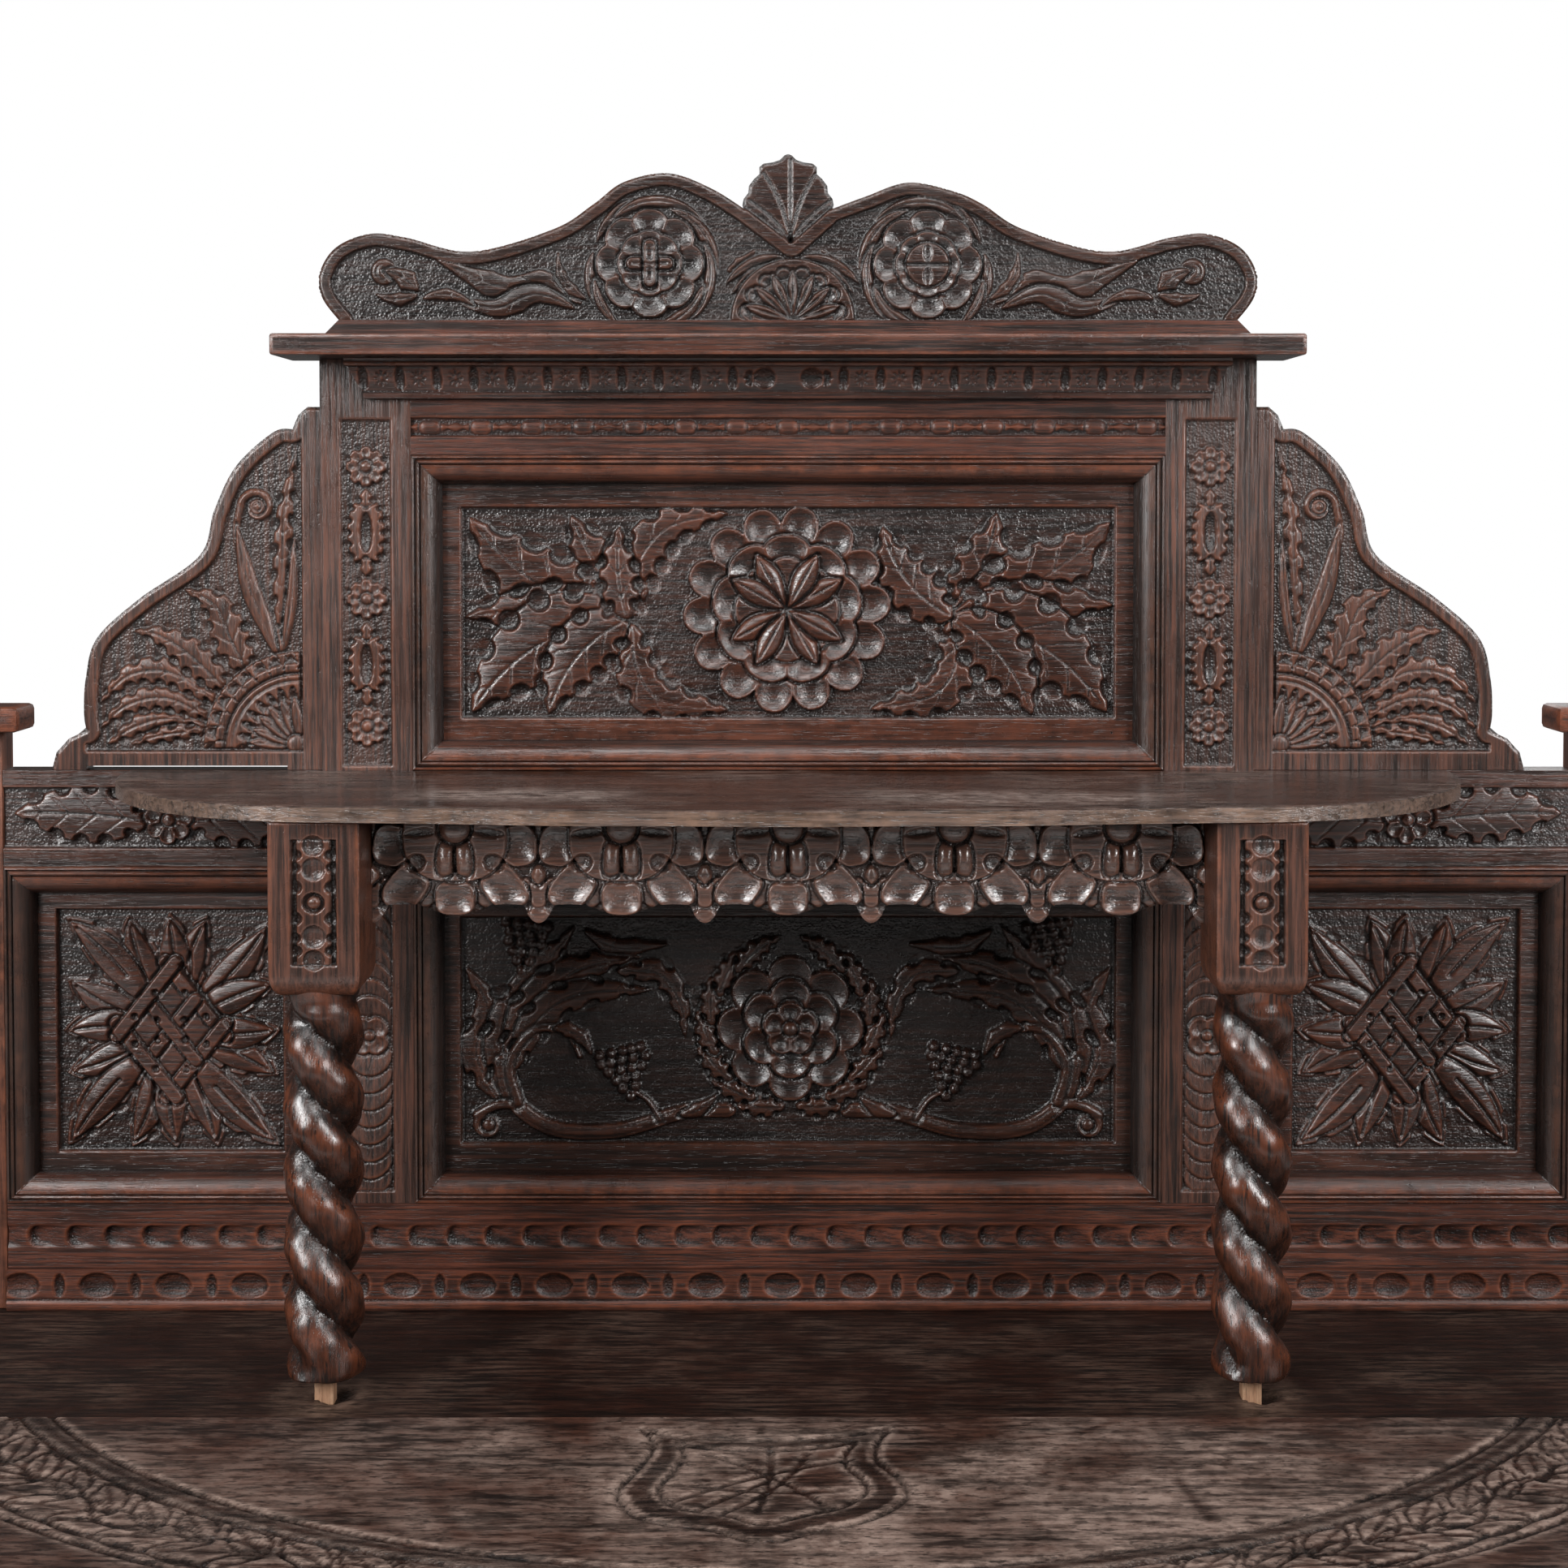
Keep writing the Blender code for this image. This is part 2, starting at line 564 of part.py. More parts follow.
def drawer(name, side, oak, lining):
    """A drawer with its origin at the middle of its front, so that it slides along Y from there."""
    inner = DIVIDER_WIDTH / 2 + DRAWER_CLEARANCE
    outer = LEG_INNER - DRAWER_CLEARANCE
    left, right = sorted((side * inner, side * outer))
    bottom = DRAWER_SILL + FIT_GAP
    top = DRAWER_HEAD - DRAWER_CLEARANCE
    front_back = FRIEZE_FACE + DRAWER_FRONT_THICKNESS
    back = FRIEZE_FACE + DRAWER_DEPTH
    side_inner = DRAWER_SIDE_THICKNESS
    floor = bottom + DRAWER_BOTTOM_RISE
    middle = (left + right) / 2
    knob_height = (bottom + top) / 2

    front = board(f"drawer_{name}_front", (left, FRIEZE_FACE, bottom), (right, front_back, top), oak)
    outline = [
        (left, front_back + FIT_GAP),
        (left, back),
        (right, back),
        (right, front_back + FIT_GAP),
        (right - side_inner, front_back + FIT_GAP),
        (right - side_inner, back - side_inner),
        (left + side_inner, back - side_inner),
        (left + side_inner, front_back + FIT_GAP),
    ]
    box = prism(f"drawer_{name}_box", outline, bottom, top - DRAWER_BACK_DROP, level, lining)
    groove = DRAWER_GROOVE_DEPTH
    low = (left + side_inner - groove, front_back - groove, floor)
    high = (right - side_inner + groove, back - side_inner + groove, floor + DRAWER_BOTTOM_THICKNESS)
    pieces = [front, box, board(f"drawer_{name}_bottom", low, high, lining)]
    cut_boxes(front, [(low, high)])
    cut_boxes(box, [(low, high)])

    rings = [
        (-KNOB_PIN_LENGTH, round_ring(KNOB_PIN_RADIUS)),
        (FIT_GAP, round_ring(KNOB_PIN_RADIUS)),
        (FIT_GAP, round_ring(KNOB_RADIUS * 0.72)),
        (KNOB_LENGTH * 0.12, round_ring(KNOB_RADIUS * 0.72)),
        (KNOB_LENGTH * 0.30, round_ring(KNOB_RADIUS * 0.48)),
        (KNOB_LENGTH * 0.52, round_ring(KNOB_RADIUS * 0.92)),
        (KNOB_LENGTH * 0.72, round_ring(KNOB_RADIUS)),
        (KNOB_LENGTH * 0.92, round_ring(KNOB_RADIUS * 0.70)),
        (KNOB_LENGTH, round_ring(KNOB_RADIUS * 0.30)),
    ]
    outwards = Matrix.Translation((middle, FRIEZE_FACE, knob_height)) @ Matrix.Rotation(math.pi / 2, 4, "X")
    shape = bmesh.new()
    add_rings(shape, rings, outwards)
    pieces.append(finish(f"drawer_{name}_knob", shape, oak, smooth=True))
    hole = [
        (-KNOB_PIN_LENGTH - FIT_GAP, round_ring(KNOB_PIN_RADIUS + FIT_GAP)),
        (KNOB_PIN_LENGTH, round_ring(KNOB_PIN_RADIUS + FIT_GAP)),
    ]
    cut(front, lambda shape: add_rings(shape, hole, outwards))

    slide = bpy.data.objects.new(f"drawer_{name}_slide", None)
    slide.location = (middle, FRIEZE_FACE, knob_height)
    bpy.context.scene.collection.objects.link(slide)
    cutters = [modifier.object for piece in pieces for modifier in piece.modifiers]
    for piece in pieces + cutters:
        piece.parent = slide
        piece.matrix_parent_inverse = Matrix.Translation(-slide.location)


def opening_boxes():
    """Each panel opening as its low and high corner in X and Z."""
    left = -END_STILE_INNER, -STILE_OUTER
    right = STILE_OUTER, END_STILE_INNER
    centre = -STILE_INNER, STILE_INNER
    return {
        "left": (left, (LOWER_SILL, LOWER_HEAD)),
        "right": (right, (LOWER_SILL, LOWER_HEAD)),
        "centre": (centre, (LOWER_SILL, LOWER_HEAD)),
        "upper": (centre, (SHELF_TOP, UPPER_HEAD)),
    }


def panel_box(name):
    """A panel reaches past its opening by its tongue, on all four sides."""
    (left, right), (bottom, top) = opening_boxes()[name]
    face = FRAME_FACE + PANEL_RECESS
    reach = PANEL_TONGUE - FIT_GAP
    low = (left - reach, face, bottom - reach)
    return low, (right + reach, face + PANEL_THICKNESS, top + reach)


def panels(material):
    for name in opening_boxes():
        board(f"{name}_panel", *panel_box(name), material)


def moulding_profile():
    """Points (in from the opening's edge, out from the frame face): two fillets and a round roll."""
    foot = FIT_GAP - PANEL_RECESS
    half = MOULDING_FILLET / 2
    low, high = MOULDING_PROUD / 2, MOULDING_PROUD
    points = [(0.0, foot), (0.0, low), (half, low), (half, high), (MOULDING_FILLET, high)]
    reach, fall = MOULDING_WIDTH - MOULDING_FILLET, high - foot
    for i in range(1, CURVE_STEPS + 1):
        angle = math.pi / 2 * i / CURVE_STEPS
        points.append((MOULDING_FILLET + reach * math.sin(angle), high - fall * (1 - math.cos(angle))))
    return points


def panel_mouldings(material):
    for name, ((left, right), (bottom, top)) in opening_boxes().items():
        shape = bmesh.new()
        corners = []
        for x, across in ((left, 1), (right, -1)):
            for z, up in ((bottom, 1), (top, -1)):
                corner = []
                for inset, out in moulding_profile():
                    step = inset + FIT_GAP
                    corner.append(shape.verts.new((x + across * step, FRAME_FACE - out, z + up * step)))
                corners.append(corner)
        low_left, high_left, low_right, high_right = corners
        loop = [low_left, low_right, high_right, high_left]
        count = len(low_left)
        for k in range(4):
            here, there = loop[k], loop[(k + 1) % 4]
            for i in range(count):
                j = (i + 1) % count
                shape.faces.new((here[i], there[i], there[j], here[j]))
        finish(f"{name}_moulding", shape, material)


def frame_boxes():
    """The backboard's stiles and rails, each as its low and high corner."""
    def member(left, right, bottom, top):
        return (left, FRAME_FACE, bottom), (right, FRAME_BACK, top)

    stile_reach = STILE_INNER - FIT_GAP
    rail_reach = END_STILE_INNER - FIT_GAP
    boxes = {
        "bottom_rail": member(-rail_reach, rail_reach, PLINTH_TOP + FIT_GAP, LOWER_SILL),
        "centre_rail": member(-stile_reach, stile_reach, LOWER_HEAD, SHELF_TOP),
        "upper_rail": member(-stile_reach, stile_reach, UPPER_HEAD, STILE_TOP),
    }
    for name, side in SIDES.items():
        left, right = sorted((side * END_STILE_INNER, side * HALF_WIDTH))
        boxes[f"end_stile_{name}"] = member(left, right, TOP_HEIGHT + FIT_GAP, END_STILE_TOP)
        left, right = sorted((side * STILE_INNER, side * STILE_OUTER))
        boxes[f"inner_stile_{name}"] = member(left, right, LOWER_SILL + FIT_GAP, STILE_TOP)
        left, right = sorted((side * (STILE_OUTER + FIT_GAP), side * (END_STILE_INNER - FIT_GAP)))
        boxes[f"side_rail_{name}"] = member(left, right, LOWER_HEAD, SHELF_TOP)
    return boxes


def backboard_frame(material):
    boxes = frame_boxes()
    ends = (ALONG_X, -ALONG_X)
    tenons = {"bottom_rail": ends, "centre_rail": ends, "upper_rail": ends}
    for name in SIDES:
        tenons[f"side_rail_{name}"] = ends
        tenons[f"inner_stile_{name}"] = (-ALONG_Z,)
    made = {}
    for name, box in boxes.items():
        made[name] = board(name, *box, material, tenons=tenons.get(name, ()))

    mortises = {name: [] for name in boxes}
    for name, side in SIDES.items():
        end_stile, inner_stile = mortises[f"end_stile_{name}"], mortises[f"inner_stile_{name}"]
        out = side * ALONG_X
        end_stile.append(tenon_box(*boxes["bottom_rail"], out))
        end_stile.append(tenon_box(*boxes[f"side_rail_{name}"], out))
        inner_stile.append(tenon_box(*boxes[f"side_rail_{name}"], -out))
        inner_stile.append(tenon_box(*boxes["centre_rail"], out))
        inner_stile.append(tenon_box(*boxes["upper_rail"], out))
        mortises["bottom_rail"].append(tenon_box(*boxes[f"inner_stile_{name}"], -ALONG_Z))
    for name, pockets in mortises.items():
        if pockets:
            cut_boxes(made[name], pockets)

    grooves = {
        "left": ("end_stile_left", "inner_stile_left", "side_rail_left", "bottom_rail"),
        "right": ("end_stile_right", "inner_stile_right", "side_rail_right", "bottom_rail"),
        "centre": ("inner_stile_left", "inner_stile_right", "centre_rail", "bottom_rail"),
        "upper": ("inner_stile_left", "inner_stile_right", "upper_rail", "centre_rail"),
    }
    for panel, members in grooves.items():
        for member in members:
            cut_boxes(made[member], [panel_box(panel)])


def plinth(material):
    reach = END_STILE_INNER - FIT_GAP
    low = (-reach, FRAME_FACE - PLINTH_PROJECTION, TOP_HEIGHT + FIT_GAP)
    board("plinth_moulding", low, (reach, FRAME_BACK, PLINTH_TOP), material)


def end_caps(material):
    for name, side in SIDES.items():
        inner, outer = END_STILE_INNER - END_CAP_OVERHANG, HALF_WIDTH + END_CAP_OVERHANG
        left, right = sorted((side * inner, side * outer))
        low = (left, FRAME_FACE - END_CAP_OVERHANG, END_STILE_TOP + FIT_GAP)
        high = (right, FRAME_BACK, END_STILE_TOP + FIT_GAP + END_CAP_HEIGHT)
        chamfer(board(f"end_cap_{name}", low, high, material), END_CAP_CHAMFER)


def shelf(material):
    """Straight at the back, quarter-ellipse ends and a slightly bowed, waved front."""
    straight = SHELF_HALF_WIDTH - SHELF_END_LENGTH
    half = []
    for i in range(CURVE_STEPS * 2 + 1):
        angle = math.pi / 2 * i / (CURVE_STEPS * 2)
        half.append((straight + SHELF_END_LENGTH * math.cos(angle), SHELF_END_DEPTH * math.sin(angle)))
    bow = SHELF_DEPTH - SHELF_END_DEPTH
    for i in range(1, CURVE_STEPS * 2 + 1):
        share = 1 - i / (CURVE_STEPS * 2)
        wave = SHELF_WAVE * (math.cos(4 * math.pi * share) - 1) / 2
        half.append((straight * share, SHELF_DEPTH - bow * share**2 + wave))
    outline = half + [(-x, reach) for x, reach in reversed(half[:-1])]
    face = FRAME_FACE - FIT_GAP
    outline = [(x, face - reach) for x, reach in outline]
    prism("shelf", outline, SHELF_UNDERSIDE, SHELF_TOP, level, material)


def shelf_apron(material):
    """Hangs under the shelf between the column blocks, with a half flower in each bay of its lower edge."""
    half_length = COLUMN_SPREAD - COLUMN_SQUARE / 2 - FIT_GAP
    top = SHELF_UNDERSIDE - FIT_GAP
    bay = 2 * half_length / APRON_FLOWERS
    count = APRON_FLOWERS * LOBE_STEPS
    flower_reach, leaf_reach = 0.45, 0.12
    outline = [(half_length, top), (-half_length, top)]
    for i in range(count + 1):
        across = abs((i / LOBE_STEPS) % 1 - 0.5)
        flower = APRON_FLOWER_DROP * math.sqrt(max(0.0, 1 - (across / flower_reach) ** 2))
        leaf = APRON_DROP * math.sqrt(max(0.0, 1 - ((0.5 - across) / leaf_reach) ** 2))
        drop = max(flower, leaf, APRON_LEAST_DROP)
        outline.append((bay * i / LOBE_STEPS - half_length, top - drop))
    face = FRAME_FACE - APRON_REACH
    prism("shelf_apron", outline, face, face + APRON_BOARD_THICKNESS, upright, material)


def columns(oak, peg):
    block_top = SHELF_UNDERSIDE - FIT_GAP
    block_bottom = block_top - COLUMN_BLOCK_HEIGHT
    step = COLUMN_SQUARE / 8
    square = square_ring(COLUMN_SQUARE / 2)
    twist = COLUMN_TWIST_RADIUS, COLUMN_TWIST_HOLLOW, COLUMN_TWIST_PITCH
    rings = twist_rings(COLUMN_BOTTOM, block_bottom - step, *twist)
    rings.append((block_bottom, round_ring(COLUMN_TWIST_RADIUS)))
    rings += [(block_bottom + step, square), (block_top, square)]
    half = DOWEL_WIDTH / 2
    for name, side in SIDES.items():
        x = side * COLUMN_SPREAD
        column = turned(f"column_{name}", x, COLUMN_Y, rings, oak)
        low = (x - half, COLUMN_Y - half, TOP_HEIGHT - DOWEL_IN_TOP)
        high = (x + half, COLUMN_Y + half, COLUMN_BOTTOM + DOWEL_IN_COLUMN)
        board(f"column_dowel_{name}", low, high, peg)
        cut_boxes(column, [(low, high)])


def cornice(material):
    low = (-CORNICE_HALF_WIDTH, FRAME_FACE - CORNICE_OVERHANG, CORNICE_BOTTOM)
    cover = board("cornice_shelf", low, (CORNICE_HALF_WIDTH, FRAME_BACK, CORNICE_TOP), material)
    chamfer(cover, CORNICE_END_CHAMFER)

    top, projection, foot = STILE_TOP, CORNICE_MOULDING_PROJECTION, CORNICE_MOULDING_FOOT
    bottom = top - CORNICE_MOULDING_HEIGHT
    face_top, face_bottom = top - CORNICE_FILLET, bottom + CORNICE_FILLET
    fall = projection - foot
    profile = [(FIT_GAP, top), (projection, top), (projection, face_top)]
    for i in range(CURVE_STEPS + 1):
        angle = math.pi / 2 * i / CURVE_STEPS
        out = foot + fall / 5 + fall * 3 / 5 * math.cos(angle)
        profile.append((out, face_top - (face_top - face_bottom) * math.sin(angle)))
    profile += [(foot, face_bottom), (foot, bottom), (FIT_GAP, bottom)]
    shape = bmesh.new()
    ends = []
    for side in (-1, 1):
        end = []
        for out, height in profile:
            x = side * (CORNICE_MOULDING_HALF_WIDTH - projection + max(out, foot))
            end.append(shape.verts.new((x, FRAME_FACE - out, height)))
        ends.append(end)
    left, right = ends
    shape.faces.new(left)
    shape.faces.new(right)
    for i in range(len(profile)):
        j = (i + 1) % len(profile)
        shape.faces.new((left[i], left[j], right[j], right[i]))
    finish("cornice_moulding", shape, material)


def crest(material):
    """A base rail with sloping ends, and a board with two humps, a leaf between them and rounded ends."""
    top = CREST_RAIL_BOTTOM + CREST_RAIL_HEIGHT
    reach = CREST_RAIL_HALF_WIDTH
    outline = [
        (-reach, CREST_RAIL_BOTTOM),
        (reach, CREST_RAIL_BOTTOM),
        (reach - CREST_RAIL_HEIGHT, top),
        (CREST_RAIL_HEIGHT - reach, top),
    ]
    prism("crest_rail", outline, FRAME_FACE - CREST_RAIL_PROJECTION, FRAME_BACK, upright, material)

    def half(hump):
        crown = [CREST_VALLEY] + [(x, hump * share) for x, share in CREST_CROWN]
        return FINIAL[::-1] + smooth_path(crown + CREST_SHOULDER + CREST_END)

    right = half(CREST_RIGHT_HUMP)
    left = [(-x, z) for x, z in half(CREST_LEFT_HUMP)[1:]]
    stretch = CREST_REACH / CREST_END[-1][0]
    outline = [(x * stretch, CREST_BOTTOM + z) for x, z in right + left[::-1]]
    face = FRAME_FACE - CREST_PROJECTION
    prism("crest_board", outline, face, face + CREST_THICKNESS, upright, material)


def wings(material):
    """Shaped boards that stand on the side rails against the inner stiles."""
    edge = smooth_path([WING_TOP[-1]] + WING_EDGE + WING_LOW_EDGE)
    outline = WING_TOP + edge[1:] + WING_FOOT
    undercut = [
        (WING_LOW_EDGE[-1][0], 0.0),
        (WING_LOW_EDGE[-1][0], WING_UNDERCUT),
        (WING_FOOT_LENGTH, WING_UNDERCUT),
        (WING_FOOT_LENGTH, 0.0),
    ]
    feet_of = {"left": undercut, "right": []}
    face = FRAME_FACE + WING_RECESS
    start = STILE_OUTER + FIT_GAP
    stretch = WING_REACH / WING_FOOT[-1][0]
    for name, side in SIDES.items():
        points = outline + feet_of[name] + [(0.0, 0.0)]
        shape = [(side * (start + x * stretch), SHELF_TOP + FIT_GAP + z) for x, z in points]
        prism(f"wing_{name}", shape, face, face + WING_THICKNESS, upright, material)


def main():
    for left_over in list(bpy.data.objects):
        bpy.data.objects.remove(left_over)
    plain = wood("dark_oak", (0.045, 0.022, 0.012), 0.42)
    carved = wood("carved_oak", (0.035, 0.017, 0.010), 0.40)
    worn = wood("worn_table_oak", (0.085, 0.050, 0.032), 0.48)
    lining = wood("drawer_lining_oak", (0.230, 0.130, 0.062), 0.65)
    peg = wood("pale_peg_wood", (0.420, 0.270, 0.140), 0.60)

    table_top(worn)
    front_legs(plain)
    back_legs(plain)
    platform(plain)
    feet(plain)
    frieze(plain)
    runners(lining)
    for name, side in SIDES.items():
        drawer(name, side, carved, lining)
    backboard_frame(carved)
    panels(carved)
    panel_mouldings(plain)
    plinth(carved)
    end_caps(plain)
    shelf(plain)
    shelf_apron(carved)
    columns(carved, peg)
    cornice(carved)
    crest(carved)
    wings(carved)


main()
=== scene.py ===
import math

import bpy
import numpy as np
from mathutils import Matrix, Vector


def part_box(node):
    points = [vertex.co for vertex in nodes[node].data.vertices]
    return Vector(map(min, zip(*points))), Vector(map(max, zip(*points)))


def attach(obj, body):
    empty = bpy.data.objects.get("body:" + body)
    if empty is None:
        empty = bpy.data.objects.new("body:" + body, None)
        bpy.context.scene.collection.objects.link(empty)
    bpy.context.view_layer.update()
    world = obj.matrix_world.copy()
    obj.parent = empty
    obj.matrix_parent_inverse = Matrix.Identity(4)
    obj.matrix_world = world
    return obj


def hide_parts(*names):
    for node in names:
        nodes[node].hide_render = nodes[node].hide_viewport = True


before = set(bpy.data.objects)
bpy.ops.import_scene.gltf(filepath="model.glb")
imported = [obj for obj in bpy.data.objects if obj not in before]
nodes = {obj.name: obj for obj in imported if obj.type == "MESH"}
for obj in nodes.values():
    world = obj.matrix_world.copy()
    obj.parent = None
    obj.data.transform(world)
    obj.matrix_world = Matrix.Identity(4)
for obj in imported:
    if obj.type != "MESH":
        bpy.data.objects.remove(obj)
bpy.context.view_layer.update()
mm = 0.001
print("frame loaded:", len(nodes), "nodes")


# view, light and stage

viewSettings = {"place": (0.0, -1.7233, 1.6013), "tilt": 1.931, "lens": 53.04, "shift": (-0.0026, -0.13)}

lampSettings = {
    # name: place, target, size, power
    "leftBox": ((-2.1, -1.95, 2.42), (-0.1, 0.2, 1.25), (0.9, 1.2), 114.0),
    "rightBox": ((2.2, -1.95, 2.36), (0.1, 0.2, 1.25), (0.9, 1.2), 94.0),
    "topBox": ((0.0, -1.3, 3.5), (0.0, 0.2, 1.3), (2.0, 0.7), 52.0),
    "backBox": ((0.6, 2.8, 2.6), (0.0, 0.2, 1.0), (2.4, 1.6), 30.0),
}


def addCamera():
    camera = bpy.data.objects.new("camera", bpy.data.cameras.new("camera"))
    bpy.context.scene.collection.objects.link(camera)
    camera.location = viewSettings["place"]
    camera.rotation_euler = (math.radians(90.0 - viewSettings["tilt"]), 0.0, 0.0)
    camera.data.lens = viewSettings["lens"]
    camera.data.sensor_width = 36.0
    camera.data.shift_x, camera.data.shift_y = viewSettings["shift"]
    bpy.context.scene.camera = camera


def addLamps():
    for name, (place, target, size, power) in lampSettings.items():
        lamp = bpy.data.lights.new(name, "AREA")
        lamp.shape = "RECTANGLE"
        lamp.size, lamp.size_y = size
        lamp.energy = power
        holder = bpy.data.objects.new(name, lamp)
        bpy.context.scene.collection.objects.link(holder)
        holder.location = place
        aim = Vector(target) - Vector(place)
        holder.rotation_euler = aim.to_track_quat("-Z", "Y").to_euler()


def paleWorld():
    world = bpy.data.worlds.new("paleRoom")
    bpy.context.scene.world = world
    world.use_nodes = True
    tree = world.node_tree
    room = tree.nodes["Background"]
    room.inputs["Color"].default_value = (1.0, 0.985, 0.97, 1.0)
    room.inputs["Strength"].default_value = 0.09
    seen = tree.nodes.new("ShaderNodeBackground")
    seen.inputs["Color"].default_value = (1.0, 1.0, 1.0, 1.0)
    seen.inputs["Strength"].default_value = 1.0
    path = tree.nodes.new("ShaderNodeLightPath")
    either = tree.nodes.new("ShaderNodeMath")
    either.operation = "MAXIMUM"
    tree.links.new(path.outputs["Is Camera Ray"], either.inputs[0])
    tree.links.new(path.outputs["Is Transmission Ray"], either.inputs[1])
    mix = tree.nodes.new("ShaderNodeMixShader")
    tree.links.new(either.outputs[0], mix.inputs[0])
    tree.links.new(room.outputs[0], mix.inputs[1])
    tree.links.new(seen.outputs[0], mix.inputs[2])
    tree.links.new(mix.outputs[0], tree.nodes["World Output"].inputs["Surface"])


floorSettings = {"colour": (0.80, 0.79, 0.78), "clear": (1.0, 2.1), "rough": 0.75, "size": 30.0,
                 "level": -0.002}


def paleFloor():
    # keeps its shadow near the table and runs out to plain white for the camera
    deselectAll()
    bpy.ops.mesh.primitive_grid_add(x_subdivisions=4, y_subdivisions=4, size=floorSettings["size"],
                                    location=(0.0, 0.0, floorSettings["level"]))
    floor = bpy.context.object
    floor.name = "studioFloor"
    material = bpy.data.materials.new("paleFloor")
    material.use_nodes = True
    tree = material.node_tree
    shader = tree.nodes["Principled BSDF"]
    shader.inputs["Base Color"].default_value = (*floorSettings["colour"], 1.0)
    shader.inputs["Roughness"].default_value = floorSettings["rough"]
    white = tree.nodes.new("ShaderNodeEmission")
    away = tree.nodes.new("ShaderNodeVectorMath")
    away.operation = "LENGTH"
    join(tree, tree.nodes.new("ShaderNodeTexCoord").outputs["Object"], away.inputs[0])
    far = rangeNode(tree, away.outputs["Value"], *floorSettings["clear"])
    seen = tree.nodes.new("ShaderNodeLightPath").outputs["Is Camera Ray"]
    mix = tree.nodes.new("ShaderNodeMixShader")
    join(tree, mathNode(tree, "MULTIPLY", far, seen), mix.inputs[0])
    join(tree, shader.outputs[0], mix.inputs[1])
    join(tree, white.outputs[0], mix.inputs[2])
    join(tree, mix.outputs[0], tree.nodes["Material Output"].inputs["Surface"])
    floor.data.materials.append(material)


# finishes

def newGroup(name, inputs, outputs):
    group = bpy.data.node_groups.new(name, "ShaderNodeTree")
    for socket, kind in inputs:
        group.interface.new_socket(socket, in_out="INPUT", socket_type=kind)
    for socket, kind in outputs:
        group.interface.new_socket(socket, in_out="OUTPUT", socket_type=kind)
    return group, group.nodes.new("NodeGroupInput"), group.nodes.new("NodeGroupOutput")


def join(tree, source, target):
    tree.links.new(source, target)


def mathNode(tree, operation, first, second=None, third=None, clamp=False):
    node = tree.nodes.new("ShaderNodeMath")
    node.operation = operation
    node.use_clamp = clamp
    for slot, value in enumerate((first, second, third)):
        if value is None:
            continue
        if isinstance(value, (int, float)):
            node.inputs[slot].default_value = value
        else:
            tree.links.new(value, node.inputs[slot])
    return node.outputs[0]


def noiseNode(tree, vector, scale, detail=3.0, rough=0.55, stretch=None):
    if stretch:
        grow = tree.nodes.new("ShaderNodeVectorMath")
        grow.operation = "MULTIPLY"
        tree.links.new(vector, grow.inputs[0])
        grow.inputs[1].default_value = stretch
        vector = grow.outputs[0]
    node = tree.nodes.new("ShaderNodeTexNoise")
    node.inputs["Scale"].default_value = scale
    node.inputs["Detail"].default_value = detail
    node.inputs["Roughness"].default_value = rough
    tree.links.new(vector, node.inputs["Vector"])
    return node.outputs["Fac"]


def rangeNode(tree, value, low, high, toLow=0.0, toHigh=1.0):
    node = tree.nodes.new("ShaderNodeMapRange")
    node.interpolation_type = "SMOOTHSTEP"
    node.inputs["From Min"].default_value = low
    node.inputs["From Max"].default_value = high
    node.inputs["To Min"].default_value = toLow
    node.inputs["To Max"].default_value = toHigh
    tree.links.new(value, node.inputs["Value"])
    return node.outputs["Result"]


def mixColour(tree, mask, first, second, blend="MIX"):
    node = tree.nodes.new("ShaderNodeMix")
    node.data_type = "RGBA"
    node.blend_type = blend
    for socket, value in ((node.inputs["Factor"], mask), (node.inputs[6], first), (node.inputs[7], second)):
        if isinstance(value, (int, float)):
            socket.default_value = value
        elif isinstance(value, tuple):
            socket.default_value = (*value, 1.0)
        else:
            tree.links.new(value, socket)
    return node.outputs[2]


def makeGrainGroup():
    # oak figure, its grain along X of the vector: broad streaks, fine lines, dark flecks and open pores
    names = ("Streaks", "Lines", "Flecks", "Pores")
    group, given, out = newGroup(
        "oakGrain", [("Vector", "NodeSocketVector")], [(name, "NodeSocketFloat") for name in names])
    layers = {
        # stretch along and across the grain, detail, roughness, low and high of the range
        "Streaks": ((2.6, 105.0, 105.0), 5.0, 0.66, 0.38, 0.64),
        "Lines": ((9.0, 330.0, 330.0), 5.0, 0.70, 0.41, 0.60),
        "Flecks": ((24.0, 360.0, 360.0), 4.0, 0.66, 0.53, 0.63),
        "Pores": ((50.0, 1100.0, 1100.0), 2.0, 0.5, 0.60, 0.72),
    }
    for name, (stretch, detail, rough, low, high) in layers.items():
        cloud = noiseNode(group, given.outputs["Vector"], 1.0, detail, rough, stretch)
        join(group, rangeNode(group, cloud, low, high), out.inputs[name])
    return group


